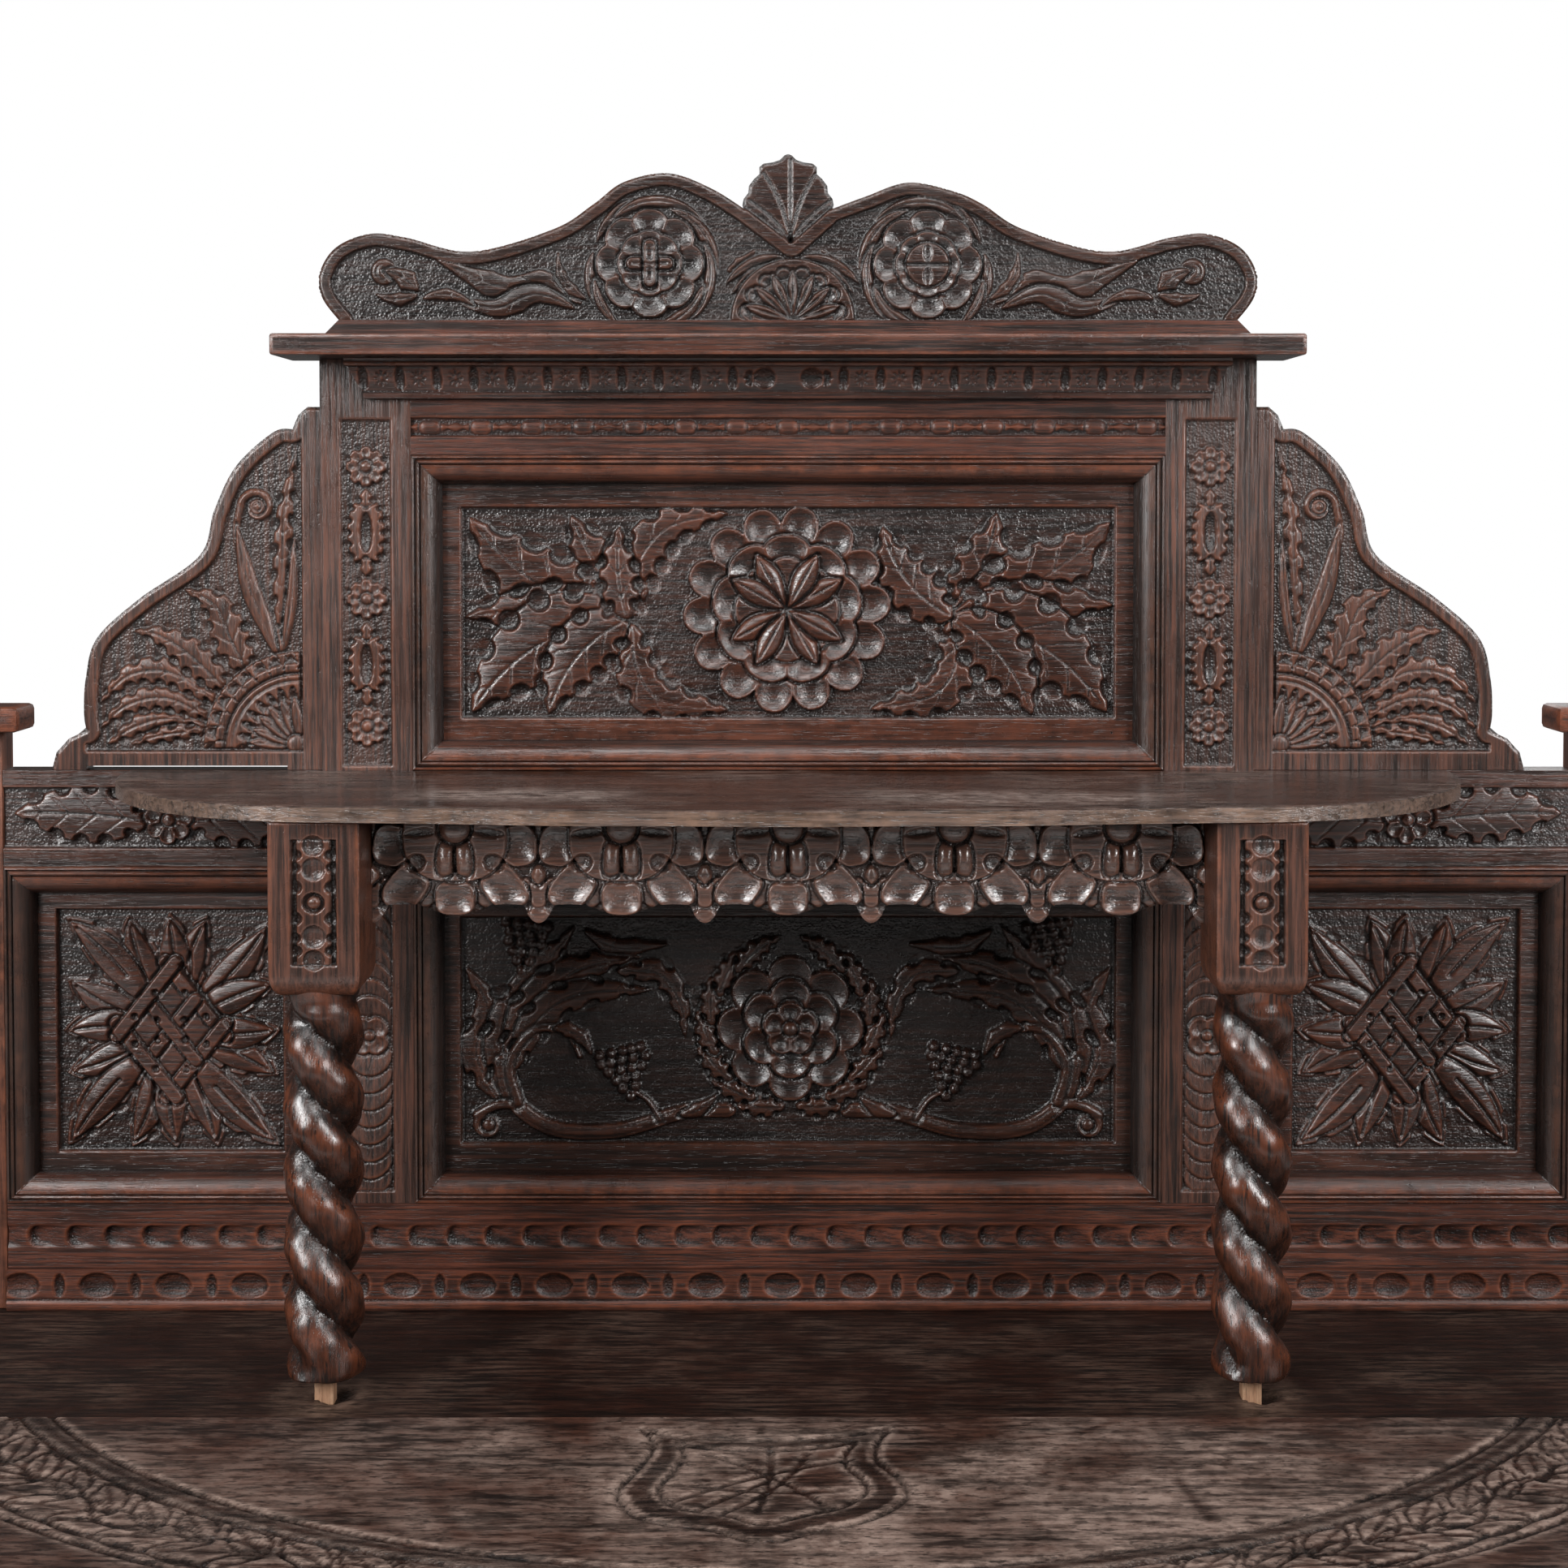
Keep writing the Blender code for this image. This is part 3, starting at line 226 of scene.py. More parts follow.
def makeWearAndShadeGroup():
    # rubbed edges, and hollows darkened with dirt and painted shade, from the carving's own attributes,
    # broken up by noise
    group, given, out = newGroup(
        "carvedWear",
        [("Vector", "NodeSocketVector"), ("Wear", "NodeSocketFloat"), ("Recess", "NodeSocketFloat")],
        [("Rubbed", "NodeSocketFloat"), ("Grime", "NodeSocketFloat"), ("Stipple", "NodeSocketFloat")],
    )
    vector = given.outputs["Vector"]
    patch = rangeNode(group, noiseNode(group, vector, 60.0, 6.0, 0.7), 0.30, 0.72)
    broken = mathNode(group, "MULTIPLY_ADD", patch, 0.85, 0.20)
    rubbed = mathNode(group, "MULTIPLY", given.outputs["Wear"], broken, clamp=True)
    join(group, rubbed, out.inputs["Rubbed"])
    # the Recess attribute darkens hollows: dirt, and painted shade where the light would not reach
    hollowMottle = mathNode(group, "MULTIPLY_ADD", noiseNode(group, vector, 90.0, 3.0), 0.7, 0.55)
    grimeAndShade = mathNode(group, "MULTIPLY", given.outputs["Recess"], hollowMottle, clamp=True)
    join(group, grimeAndShade, out.inputs["Grime"])
    punch = group.nodes.new("ShaderNodeTexVoronoi")
    punch.feature = "F1"
    punch.inputs["Scale"].default_value = 420.0
    join(group, vector, punch.inputs["Vector"])
    dots = rangeNode(group, punch.outputs["Distance"], 0.1, 0.75)
    join(group, mathNode(group, "MULTIPLY", dots, given.outputs["Recess"]), out.inputs["Stipple"])
    return group


def makeAgeGroup():
    # wax bloom, worm holes and small knocks
    group, given, out = newGroup(
        "oldWax",
        [("Vector", "NodeSocketVector")],
        [("Bloom", "NodeSocketFloat"), ("Holes", "NodeSocketFloat"), ("Knocks", "NodeSocketFloat")],
    )
    vector = given.outputs["Vector"]
    join(group, rangeNode(group, noiseNode(group, vector, 9.0, 6.0, 0.65), 0.38, 0.72), out.inputs["Bloom"])
    worm = group.nodes.new("ShaderNodeTexVoronoi")
    worm.inputs["Scale"].default_value = 42.0
    join(group, vector, worm.inputs["Vector"])
    near = rangeNode(group, worm.outputs["Distance"], 0.028, 0.042, 1.0, 0.0)
    some = rangeNode(group, noiseNode(group, vector, 5.0, 2.0), 0.58, 0.62)
    join(group, mathNode(group, "MULTIPLY", near, some), out.inputs["Holes"])
    knock = rangeNode(group, noiseNode(group, vector, 160.0, 2.0), 0.66, 0.76)
    join(group, knock, out.inputs["Knocks"])
    return group


groups = {"grain": makeGrainGroup(), "wear": makeWearAndShadeGroup(), "age": makeAgeGroup()}

finishSettings = {
    # grain turn in degrees, dark, warm and rubbed colour, roughness low and high; then what differs
    "railOak": {"turn": (0, 0, 0), "dark": (0.0075, 0.0042, 0.0034), "warm": (0.074, 0.0225, 0.0130),
                "rubbed": (0.165, 0.047, 0.021), "rough": (0.34, 0.50), "spec": 0.34},
    "stileOak": {"turn": (0, 90, 0), "dark": (0.0105, 0.0062, 0.0052), "warm": (0.088, 0.0350, 0.0240),
                 "rubbed": (0.175, 0.060, 0.032), "rough": (0.34, 0.50), "spec": 0.36},
    "mouldOak": {"turn": (0, 0, 0), "dark": (0.0060, 0.0038, 0.0032), "warm": (0.044, 0.0155, 0.0100),
                 "rubbed": (0.125, 0.037, 0.017), "rough": (0.26, 0.40), "spec": 0.45, "ember": 0.35},
    "mouldStileOak": {"turn": (0, 90, 0), "dark": (0.0060, 0.0040, 0.0034), "warm": (0.023, 0.0118, 0.0092),
                      "rubbed": (0.062, 0.026, 0.016), "rough": (0.25, 0.38), "spec": 0.60, "ember": 0.25},
    "carvedOak": {"turn": (0, 0, 0), "dark": (0.0070, 0.0044, 0.0037), "warm": (0.040, 0.0150, 0.0098),
                  "rubbed": (0.105, 0.031, 0.015), "rough": (0.22, 0.36), "spec": 0.55},
    "carvedStileOak": {"turn": (0, 90, 0), "dark": (0.0115, 0.0074, 0.0062), "warm": (0.074, 0.0330, 0.0235),
                       "rubbed": (0.135, 0.045, 0.023), "rough": (0.26, 0.40), "spec": 0.48},
    "crestOak": {"turn": (0, 0, 0), "dark": (0.0052, 0.0037, 0.0034), "warm": (0.029, 0.0135, 0.0104),
                 "rubbed": (0.074, 0.029, 0.017), "rough": (0.22, 0.36), "spec": 0.50, "ember": 0.25},
    "twistOak": {"turn": (0, 90, 0), "dark": (0.0058, 0.0037, 0.0031), "warm": (0.030, 0.0108, 0.0066),
                 "rubbed": (0.135, 0.036, 0.014), "rough": (0.24, 0.38), "ember": 0.20, "bump": 0.35,
                 "fleck": 0.9, "stretch": (1.0, 0.6, 1.0)},
    # a lighter copy of the carved oak: painted light on the apron, which the shelf shades
    "apronOak": {"turn": (0, 0, 0), "dark": (0.0260, 0.0170, 0.0145), "warm": (0.112, 0.0540, 0.0390),
                 "rubbed": (0.150, 0.062, 0.038), "rough": (0.17, 0.28), "ember": 0.20, "spec": 0.80},
    # a darker copy of the carved oak: painted shade on the centre panel under the shelf
    "shadedOak": {"turn": (0, 0, 0), "dark": (0.0044, 0.0030, 0.0026), "warm": (0.024, 0.0098, 0.0068),
                  "rubbed": (0.062, 0.020, 0.010), "rough": (0.20, 0.34), "spec": 0.50},
    "tableOak": {"turn": (0, 0, 0), "dark": (0.0048, 0.0028, 0.0023), "warm": (0.052, 0.0205, 0.0130),
                 "rubbed": (0.225, 0.162, 0.134), "rough": (0.28, 0.50), "spec": 0.40, "fleck": 0.65,
                 "stretch": (2.4, 0.42, 1.0), "streaky": 0.75, "broad": 0.5},
    "tableBackOak": {"turn": (0, 0, 0), "dark": (0.0036, 0.0022, 0.0018), "warm": (0.020, 0.0068, 0.0042),
                     "rubbed": (0.105, 0.066, 0.048), "rough": (0.36, 0.54), "spec": 0.22, "fleck": 0.7,
                     "stretch": (2.0, 0.62, 1.0), "streaky": 0.5},
    # the shelf's pale grey rubbed colour also paints the glare patches and the lit arris on its top
    "shelfOak": {"turn": (0, 0, 0), "dark": (0.0085, 0.0047, 0.0034), "warm": (0.060, 0.0235, 0.0132),
                 "rubbed": (0.270, 0.215, 0.190), "rough": (0.17, 0.34), "spec": 0.42, "fleck": 0.8,
                 "stretch": (1.8, 0.40, 1.0), "streaky": 0.45, "broad": 0.55},
    # a lighter, greyer oak for the shelf's upright faces: painted sheen
    "edgeOak": {"turn": (0, 0, 0), "dark": (0.0150, 0.0110, 0.0096), "warm": (0.090, 0.0620, 0.0520),
                "rubbed": (0.240, 0.140, 0.090), "rough": (0.18, 0.28), "spec": 0.80, "ember": 0.15},
    "depthOak": {"turn": (0, 0, 90), "dark": (0.0110, 0.0064, 0.0050), "warm": (0.052, 0.0195, 0.0125),
                 "rubbed": (0.130, 0.046, 0.025), "rough": (0.38, 0.55), "spec": 0.36},
    "liningOak": {"turn": (0, 0, 0), "dark": (0.110, 0.058, 0.027), "warm": (0.210, 0.120, 0.060),
                  "rubbed": (0.270, 0.165, 0.088), "rough": (0.58, 0.75), "spec": 0.36},
    "pegWood": {"turn": (0, 90, 0), "dark": (0.200, 0.100, 0.055), "warm": (0.340, 0.195, 0.115),
                "rubbed": (0.430, 0.270, 0.170), "rough": (0.55, 0.70), "spec": 0.36},
}


def makeFinish(name, values):
    material = bpy.data.materials.new(name)
    material.use_nodes = True
    tree = material.node_tree
    shader = tree.nodes["Principled BSDF"]
    coords = tree.nodes.new("ShaderNodeTexCoord").outputs["Object"]
    turned = tree.nodes.new("ShaderNodeMapping")
    turned.inputs["Rotation"].default_value = [math.radians(angle) for angle in values["turn"]]
    turned.inputs["Scale"].default_value = values.get("stretch", (1.0, 1.0, 1.0))
    join(tree, coords, turned.inputs["Vector"])
    parts = {}
    for key, group in groups.items():
        parts[key] = tree.nodes.new("ShaderNodeGroup")
        parts[key].node_tree = group
    join(tree, turned.outputs["Vector"], parts["grain"].inputs["Vector"])
    join(tree, coords, parts["wear"].inputs["Vector"])
    join(tree, coords, parts["age"].inputs["Vector"])
    for attribute, socket in (("wear", "Wear"), ("recess", "Recess")):
        reader = tree.nodes.new("ShaderNodeAttribute")
        reader.attribute_name = attribute
        join(tree, reader.outputs["Fac"], parts["wear"].inputs[socket])
    grain, wear, age = parts["grain"].outputs, parts["wear"].outputs, parts["age"].outputs
    broad = values.get("broad", 0.42)
    figure = mathNode(tree, "MULTIPLY", grain["Lines"], 1.0 - broad)
    figure = mathNode(tree, "MULTIPLY_ADD", grain["Streaks"], broad, figure)
    colour = mixColour(tree, mathNode(tree, "POWER", figure, 1.25), values["dark"], values["warm"])
    ember = mathNode(tree, "MULTIPLY", age["Bloom"], grain["Lines"])
    ember = mathNode(tree, "MULTIPLY", ember, values.get("ember", 0.45))
    colour = mixColour(tree, ember, colour, values["rubbed"])
    streaky = values.get("streaky", 0.0)
    broken = mathNode(tree, "MULTIPLY_ADD", figure, 1.8 * streaky, 1.0 - streaky)
    # the rubbed colour goes where the wear attribute says; on the shelf and the column blocks that attribute
    # also holds painted highlights
    worn = mathNode(tree, "MULTIPLY", wear["Rubbed"], broken, clamp=True)
    colour = mixColour(tree, worn, colour, values["rubbed"])
    fleck = mathNode(tree, "MULTIPLY", grain["Flecks"], values.get("fleck", 0.45))
    colour = mixColour(tree, fleck, colour, values["dark"])
    poreMask = mathNode(tree, "MULTIPLY", grain["Pores"], 0.70)
    black = tuple(0.28 * part for part in values["dark"])
    colour = mixColour(tree, poreMask, colour, black)
    # hollows are darkened towards black: dirt and painted shade
    colour = mixColour(tree, mathNode(tree, "MULTIPLY", wear["Grime"], 0.72), colour, black)
    colour = mixColour(tree, age["Holes"], colour, (0.004, 0.003, 0.0025))
    join(tree, colour, shader.inputs["Base Color"])
    low, high = values["rough"]
    gloss = mathNode(tree, "MULTIPLY_ADD", age["Bloom"], high - low, low)
    gloss = mathNode(tree, "MULTIPLY_ADD", poreMask, 0.15, gloss)
    gloss = mathNode(tree, "MULTIPLY_ADD", wear["Grime"], 0.06, gloss, clamp=True)
    join(tree, gloss, shader.inputs["Roughness"])
    shader.inputs["Specular IOR Level"].default_value = values.get("spec", 0.55)
    relief = mathNode(tree, "MULTIPLY_ADD", grain["Lines"], 0.25,
                      mathNode(tree, "MULTIPLY", grain["Pores"], -0.5))
    relief = mathNode(tree, "MULTIPLY_ADD", wear["Stipple"], 1.1, relief)
    relief = mathNode(tree, "MULTIPLY_ADD", age["Holes"], -3.0, relief)
    relief = mathNode(tree, "MULTIPLY_ADD", age["Knocks"], -0.3, relief)
    bump = tree.nodes.new("ShaderNodeBump")
    bump.inputs["Strength"].default_value = values.get("bump", 0.55)
    bump.inputs["Distance"].default_value = 0.0006
    join(tree, relief, bump.inputs["Height"])
    join(tree, bump.outputs["Normal"], shader.inputs["Normal"])
    return material


finishes = {name: makeFinish(name, values) for name, values in finishSettings.items()}
print("finishes made:", len(finishes))


# bench helpers

def deselectAll():
    if bpy.context.mode != "OBJECT":
        bpy.ops.object.mode_set(mode="OBJECT")
    bpy.ops.object.select_all(action="DESELECT")


def fitPiece(piece, node, finish, body="table"):
    piece.data.materials.clear()
    piece.data.materials.append(finishes[finish])
    if node:
        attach(piece, body)
        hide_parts(node)
    return piece


def setAttribute(mesh, name, values):
    layer = mesh.attributes.get(name) or mesh.attributes.new(name, "FLOAT", "POINT")
    layer.data.foreach_set("value", np.ascontiguousarray(values, dtype=np.float32))


def corners(node):
    low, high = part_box(node)
    return [value / mm for value in low], [value / mm for value in high]


def plainBoard(name, node, finish, edge=1.5, low=None, high=None, body="table", rim=7.0):
    # a cube at the board's size with bevelled edges; a loop inside each face keeps wear at the edges
    if low is None:
        low, high = corners(node)
    low, high = np.array(low), np.array(high)
    deselectAll()
    bpy.ops.mesh.primitive_cube_add(size=1.0)
    piece = bpy.context.object
    piece.name = piece.data.name = name
    co = np.array([v.co for v in piece.data.vertices])
    piece.data.vertices.foreach_set("co", ((low + (co + 0.5) * (high - low)) * mm).ravel())
    bpy.ops.object.mode_set(mode="EDIT")
    bpy.ops.mesh.select_all(action="SELECT")
    bpy.ops.mesh.bevel(offset=edge * mm, segments=2, profile=0.5)
    bpy.ops.object.mode_set(mode="OBJECT")
    areas = np.array([face.area for face in piece.data.polygons])
    sides = np.argsort(areas)[-6:]
    chosen = np.zeros(len(areas), bool)
    chosen[sides] = True
    for each in (piece.data.vertices, piece.data.edges, piece.data.polygons):
        each.foreach_set("select", np.zeros(len(each), bool))
    piece.data.polygons.foreach_set("select", chosen)
    bpy.ops.object.mode_set(mode="EDIT")
    bpy.ops.mesh.select_mode(type="FACE")
    inset = min(rim, 0.3 * float((high - low).min()))
    bpy.ops.mesh.inset(thickness=inset * mm, depth=0.0, use_individual=True)
    bpy.ops.object.mode_set(mode="OBJECT")
    inner = np.array([v.select for v in piece.data.vertices])
    setAttribute(piece.data, "wear", np.where(inner, 0.0, 0.75))
    deselectAll()
    piece.select_set(True)
    bpy.context.view_layer.objects.active = piece
    bpy.ops.object.shade_smooth_by_angle(angle=math.radians(35))
    return fitPiece(piece, node, finish, body)


def ramp(inside, soft):
    share = np.clip(inside / soft + 0.5, 0.0, 1.0)
    return share * share * (3.0 - 2.0 * share)


def spread(start, *runs):
    # places along a board: each run is (end, step)
    places = [np.array([start], float)]
    for end, step in runs:
        count = max(1, round((end - start) / step))
        places.append(np.linspace(start, end, count + 1)[1:])
        start = end
    return np.concatenate(places)


def blurred(height, reach):
    # the mean height round each spot, by box sums along both ways, twice
    for _ in range(2):
        for axis in (0, 1):
            moved = np.moveaxis(height, axis, 0)
            padded = np.pad(moved, [(reach + 1, reach), (0, 0)], mode="edge")
            total = np.cumsum(padded, axis=0)
            moved = (total[2 * reach + 1:] - total[:-2 * reach - 1]) / (2 * reach + 1)
            height = np.moveaxis(moved, 0, axis)
    return height


def newRelief(xs, zs, level=0.0):
    x, z = np.meshgrid(xs, zs)
    return {"xs": xs, "zs": zs, "x": x, "z": z, "h": np.full(x.shape, level), "ground": np.zeros(x.shape),
            "mask": None, "level": level}


def raiseBoard(relief, name, node, finish, face, back, facing="front", outline=None, hollows=1.0,
               extraWearAndHighlight=None, body="table"):
    # a grid primitive takes the carved heights, its rim is drawn back to the board's thickness and closed
    xs, zs, h = relief["xs"], relief["zs"], relief["h"]
    deselectAll()
    bpy.ops.mesh.primitive_grid_add(x_subdivisions=len(xs) - 1, y_subdivisions=len(zs) - 1, size=1.0)
    piece = bpy.context.object
    piece.name = piece.data.name = name
    x, z = relief["x"].copy(), relief["z"].copy()
    cell = float(np.median(np.diff(xs)))
    proud = h - blurred(h, max(2, round(4.0 / cell)))
    fine = h - blurred(h, max(1, round(1.2 / cell)))
    wear = 0.42 * np.clip(fine / 0.30, 0.0, 1.0) * np.clip(0.35 + proud / 0.9, 0.0, 1.0)
    wear += 0.20 * np.clip(proud / 1.6, 0.0, 1.0)
    # the recess attribute darkens hollows and the sunk ground in the finish: dirt and painted shade
    recess = np.clip(np.maximum(-hollows * proud / 1.2, relief["ground"]), 0.0, 1.0)
    # the caller's extra wear; on the shelf and the column blocks it also carries painted highlights
    if extraWearAndHighlight is not None:
        wear = np.clip(wear + extraWearAndHighlight, 0.0, 1.0)
    unused = None
    if outline is not None:
        x, z, unused = trimToOutline(relief, outline, x, z)
    if facing == "front":
        co = np.stack([x, face - h, z], axis=-1)
    elif facing == "top":
        co = np.stack([x, z, face + h], axis=-1)
    else:
        co = np.stack([face + facing * h, facing * x, z], axis=-1)
    piece.data.vertices.foreach_set("co", (co * mm).ravel())
    setAttribute(piece.data, "wear", wear.ravel())
    setAttribute(piece.data, "recess", recess.ravel())
    for each in (piece.data.vertices, piece.data.edges, piece.data.polygons):
        each.foreach_set("select", np.zeros(len(each), bool))
    if unused is not None:
        piece.data.vertices.foreach_set("select", unused.ravel())
    bpy.ops.object.mode_set(mode="EDIT")
    bpy.ops.mesh.select_mode(type="VERT")
    if unused is not None:
        bpy.ops.mesh.delete(type="VERT")
    bpy.ops.mesh.select_all(action="SELECT")
    bpy.ops.mesh.faces_shade_smooth()
    bpy.ops.mesh.region_to_loop()
    if unused is not None:
        bpy.ops.mesh.remove_doubles(threshold=0.4 * cell * mm)
    bpy.ops.mesh.mark_sharp()
    bpy.ops.mesh.extrude_region_move()
    flat = {"front": (1, 0, 1), "top": (1, 1, 0)}.get(facing, (0, 1, 1))
    pivot = {"front": (0, back * mm, 0), "top": (0, 0, back * mm)}.get(facing, (back * mm, 0, 0))
    bpy.ops.transform.resize(value=flat, center_override=pivot)
    bpy.ops.mesh.edge_face_add()
    bpy.ops.mesh.faces_shade_flat()
    bpy.ops.object.mode_set(mode="OBJECT")
    return fitPiece(piece, node, finish, body)


def smoothPath(points, steps=10):
    # a curve through given points
    points = [np.array(point, float) for point in points]
    path = []
    for i in range(len(points) - 1):
        before, start = points[max(i - 1, 0)], points[i]
        end, after = points[i + 1], points[min(i + 2, len(points) - 1)]
        for t in np.arange(steps) / steps:
            bend = 2 * before - 5 * start + 4 * end - after
            twist = 3 * start - before - 3 * end + after
            path.append(start + (end - before) * t / 2 + bend * t**2 / 2 + twist * t**3 / 2)
    path.append(points[-1])
    return np.array(path)


def nearestOnPath(x, z, path):
    # for each spot: distance to the path, share along it, side of it, and the nearest place on it
    start, step = path[:-1], np.diff(path, axis=0)
    lengths = np.hypot(step[:, 0], step[:, 1]) + 1e-9
    soFar = np.concatenate([[0.0], np.cumsum(lengths)])
    best = np.full(x.shape, 1e9)
    share = np.zeros(x.shape)
    side = np.zeros(x.shape)
    nearX, nearZ = np.zeros(x.shape), np.zeros(x.shape)
    for (sx, sz), (dx, dz), length, before in zip(start, step, lengths, soFar):
        t = np.clip(((x - sx) * dx + (z - sz) * dz) / length**2, 0.0, 1.0)
        px, pz = sx + t * dx, sz + t * dz
        distance = np.hypot(x - px, z - pz)
        closer = distance < best
        best = np.where(closer, distance, best)
        share = np.where(closer, (before + t * length) / soFar[-1], share)
        side = np.where(closer, np.sign(dx * (z - sz) - dz * (x - sx)), side)
        nearX, nearZ = np.where(closer, px, nearX), np.where(closer, pz, nearZ)
    return best, share, side, nearX, nearZ, soFar[-1]


def insideOutline(x, z, outline):
    inside = np.zeros(x.shape, bool)
    for (ax, az), (bx, bz) in zip(outline, np.roll(outline, -1, axis=0)):
        if az == bz:
            continue
        crosses = (az > z) != (bz > z)
        inside ^= crosses & (x < (bx - ax) * (z - az) / (bz - az) + ax)
    return inside


def trimToOutline(relief, outline, x, z):
    # cells outside the outline go, and the rim that is left moves onto the outline
    closed = np.vstack([outline, outline[:1]])
    distance, _, _, nearX, nearZ, _ = nearestOnPath(x, z, closed)
    cell = float(np.median(np.diff(relief["xs"])))
    keep = insideOutline(x, z, outline) | (distance < 0.45 * cell)
    full = keep[:-1, :-1] & keep[1:, :-1] & keep[:-1, 1:] & keep[1:, 1:]
    around = np.pad(full, 1)
    touching = np.stack([around[:-1, :-1], around[1:, :-1], around[:-1, 1:], around[1:, 1:]])
    used = touching.any(axis=0)
    rim = used & ~touching.all(axis=0) & (distance < 2.5 * cell)
    return np.where(rim, nearX, x), np.where(rim, nearZ, z), ~used


# carving gouges

def near(relief, x0, x1, z0, z1):
    i0, i1 = np.searchsorted(relief["xs"], (x0, x1))
    j0, j1 = np.searchsorted(relief["zs"], (z0, z1))
    return slice(j0, j1), slice(i0, i1)


def lay(relief, part, inside, height, soft=1.5, moat=2.4, sink=0.75):
    # puts a shape on top: what lies beside its edge sinks, and the shape takes its own height
    h, ground = relief["h"][part], relief["ground"][part]
    field = 1.0 if relief["mask"] is None else relief["mask"][part]
    beside = ramp(inside + moat, moat * 1.6) * sink * field
    h = h - beside * np.maximum(h - relief["level"], 0.0)
    cover = ramp(inside, soft) * field
    relief["h"][part] = h * (1.0 - cover) + height * cover
    relief["ground"][part] = ground * (1.0 - cover)


def sinkField(relief, x0, x1, z0, z1, depth, wobble=0.5, slope=1.6):
    # the ground of a carved field, cut down from the flat with slightly uneven chisel work
    x, z = relief["x"], relief["z"]
    inside = np.minimum(np.minimum(x - x0, x1 - x), np.minimum(z - z0, z1 - z))
    sinkGround(relief, inside, depth, wobble, slope)


def sinkGround(relief, inside, depth, wobble=0.5, slope=1.6):
    uneven = blurred(np.random.default_rng(11).normal(size=relief["x"].shape), 1)
    cover = ramp(inside, slope)
    relief["h"] -= cover * (depth + wobble * uneven)
    relief["ground"] = np.maximum(relief["ground"], 0.8 * cover)
    relief["level"] = -depth
    relief["mask"] = cover if relief["mask"] is None else np.maximum(relief["mask"], cover)


def curve(start, end, bow=0.0, steps=14, sway=0.0):
    # a bowed line between two places; bow and sway are shares of its length
    start, end = np.array(start, float), np.array(end, float)
    t = np.linspace(0.0, 1.0, steps + 1)[:, None]
    across = np.array([-(end - start)[1], (end - start)[0]])
    return start + (end - start) * t + across * (bow * 4.0 * t * (1 - t) + sway * np.sin(2 * np.pi * t))


def coil(centre, radius, turns, start, steps=40, tight=0.12):
    # a spiral that ends near its own middle
    t = np.linspace(0.0, 1.0, steps + 1)
    reach = radius * (1.0 - (1.0 - tight) * t)
    angle = np.radians(start) + 2 * np.pi * turns * t
    return np.stack([centre[0] + reach * np.cos(angle), centre[1] + reach * np.sin(angle)], axis=1)


def along(relief, path, reach):
    low, high = path.min(axis=0) - reach, path.max(axis=0) + reach
    part = near(relief, low[0], high[0], low[1], high[1])
    distance, share, side, _, _, length = nearestOnPath(relief["x"][part], relief["z"][part], path)
    return part, distance, share, side, length


def leaf(relief, path, width, high, lobes=4, bite=0.45, rib=0.9, vein=0.6, blunt=0.8, curl=0.0, lean=0.5,
         scoop=0.0):
    # a toothed leaf along a path: bites between pointed teeth, a cut midrib and side veins
    part, distance, share, side, length = along(relief, path, width + 4.0)
    if distance.size == 0:
        return
    half = width * np.sin(np.pi * np.clip(share, 0.0, 1.0) ** blunt) ** 0.85
    phase = lobes * (share + lean * distance / length)
    if lobes and not scoop:
        half = half * (1.0 - bite * np.abs(np.sin(np.pi * phase)) ** 0.8)
    across = np.clip(distance / np.maximum(half, 0.6), 0.0, 1.2)
    height = high * (0.62 + 0.38 * (1.0 - across**2)) + curl * side * across
    height -= rib * np.exp(-((distance / 0.95) ** 2)) * ramp(0.93 - share, 0.1)
    if lobes and vein:
        line = lobes * (share - 1.1 * distance / length)
        gap = np.abs(line - np.round(line)) * length / lobes
        height -= vein * np.exp(-((gap / 0.85) ** 2)) * ramp(0.72 - across, 0.3)
    lay(relief, part, half - distance, height + relief["level"])
    if lobes and scoop:
        biteEdges(relief, path, width, lobes, bite, blunt, scoop, high)


def biteEdges(relief, path, width, lobes, bite, blunt, scoop, high):
    # thumb-shaped gouge cuts along both edges of a leaf, so that teeth are left between them
    steps = np.hypot(*np.diff(path, axis=0).T)
    place = np.concatenate([[0.0], np.cumsum(steps)])
    length = place[-1]
    for side in (-1, 1):
        for cut in range(lobes):
            share = (cut + 0.62 + 0.1 * side) / (lobes + 0.35)
            half = width * math.sin(math.pi * share**blunt) ** 0.85
            x, z = (np.interp(share * length, place, path[:, axis]) for axis in (0, 1))
            ahead = [np.interp(min(share * length + 2.0, length), place, path[:, axis]) for axis in (0, 1)]
            dx, dz = ahead[0] - x, ahead[1] - z
            norm = math.hypot(dx, dz) + 1e-9
            dx, dz = dx / norm, dz / norm
            reach = (1.0 - 0.10 * bite) * half
            radius = min(0.42 * length / lobes, 0.95 * half + 2.0) * scoop
            floorGouge(relief, x - side * dz * reach, z + side * dx * reach, radius, bite * half + 2.2,
                       high + 0.4, math.degrees(math.atan2(dz, dx)) - 24.0 * side)


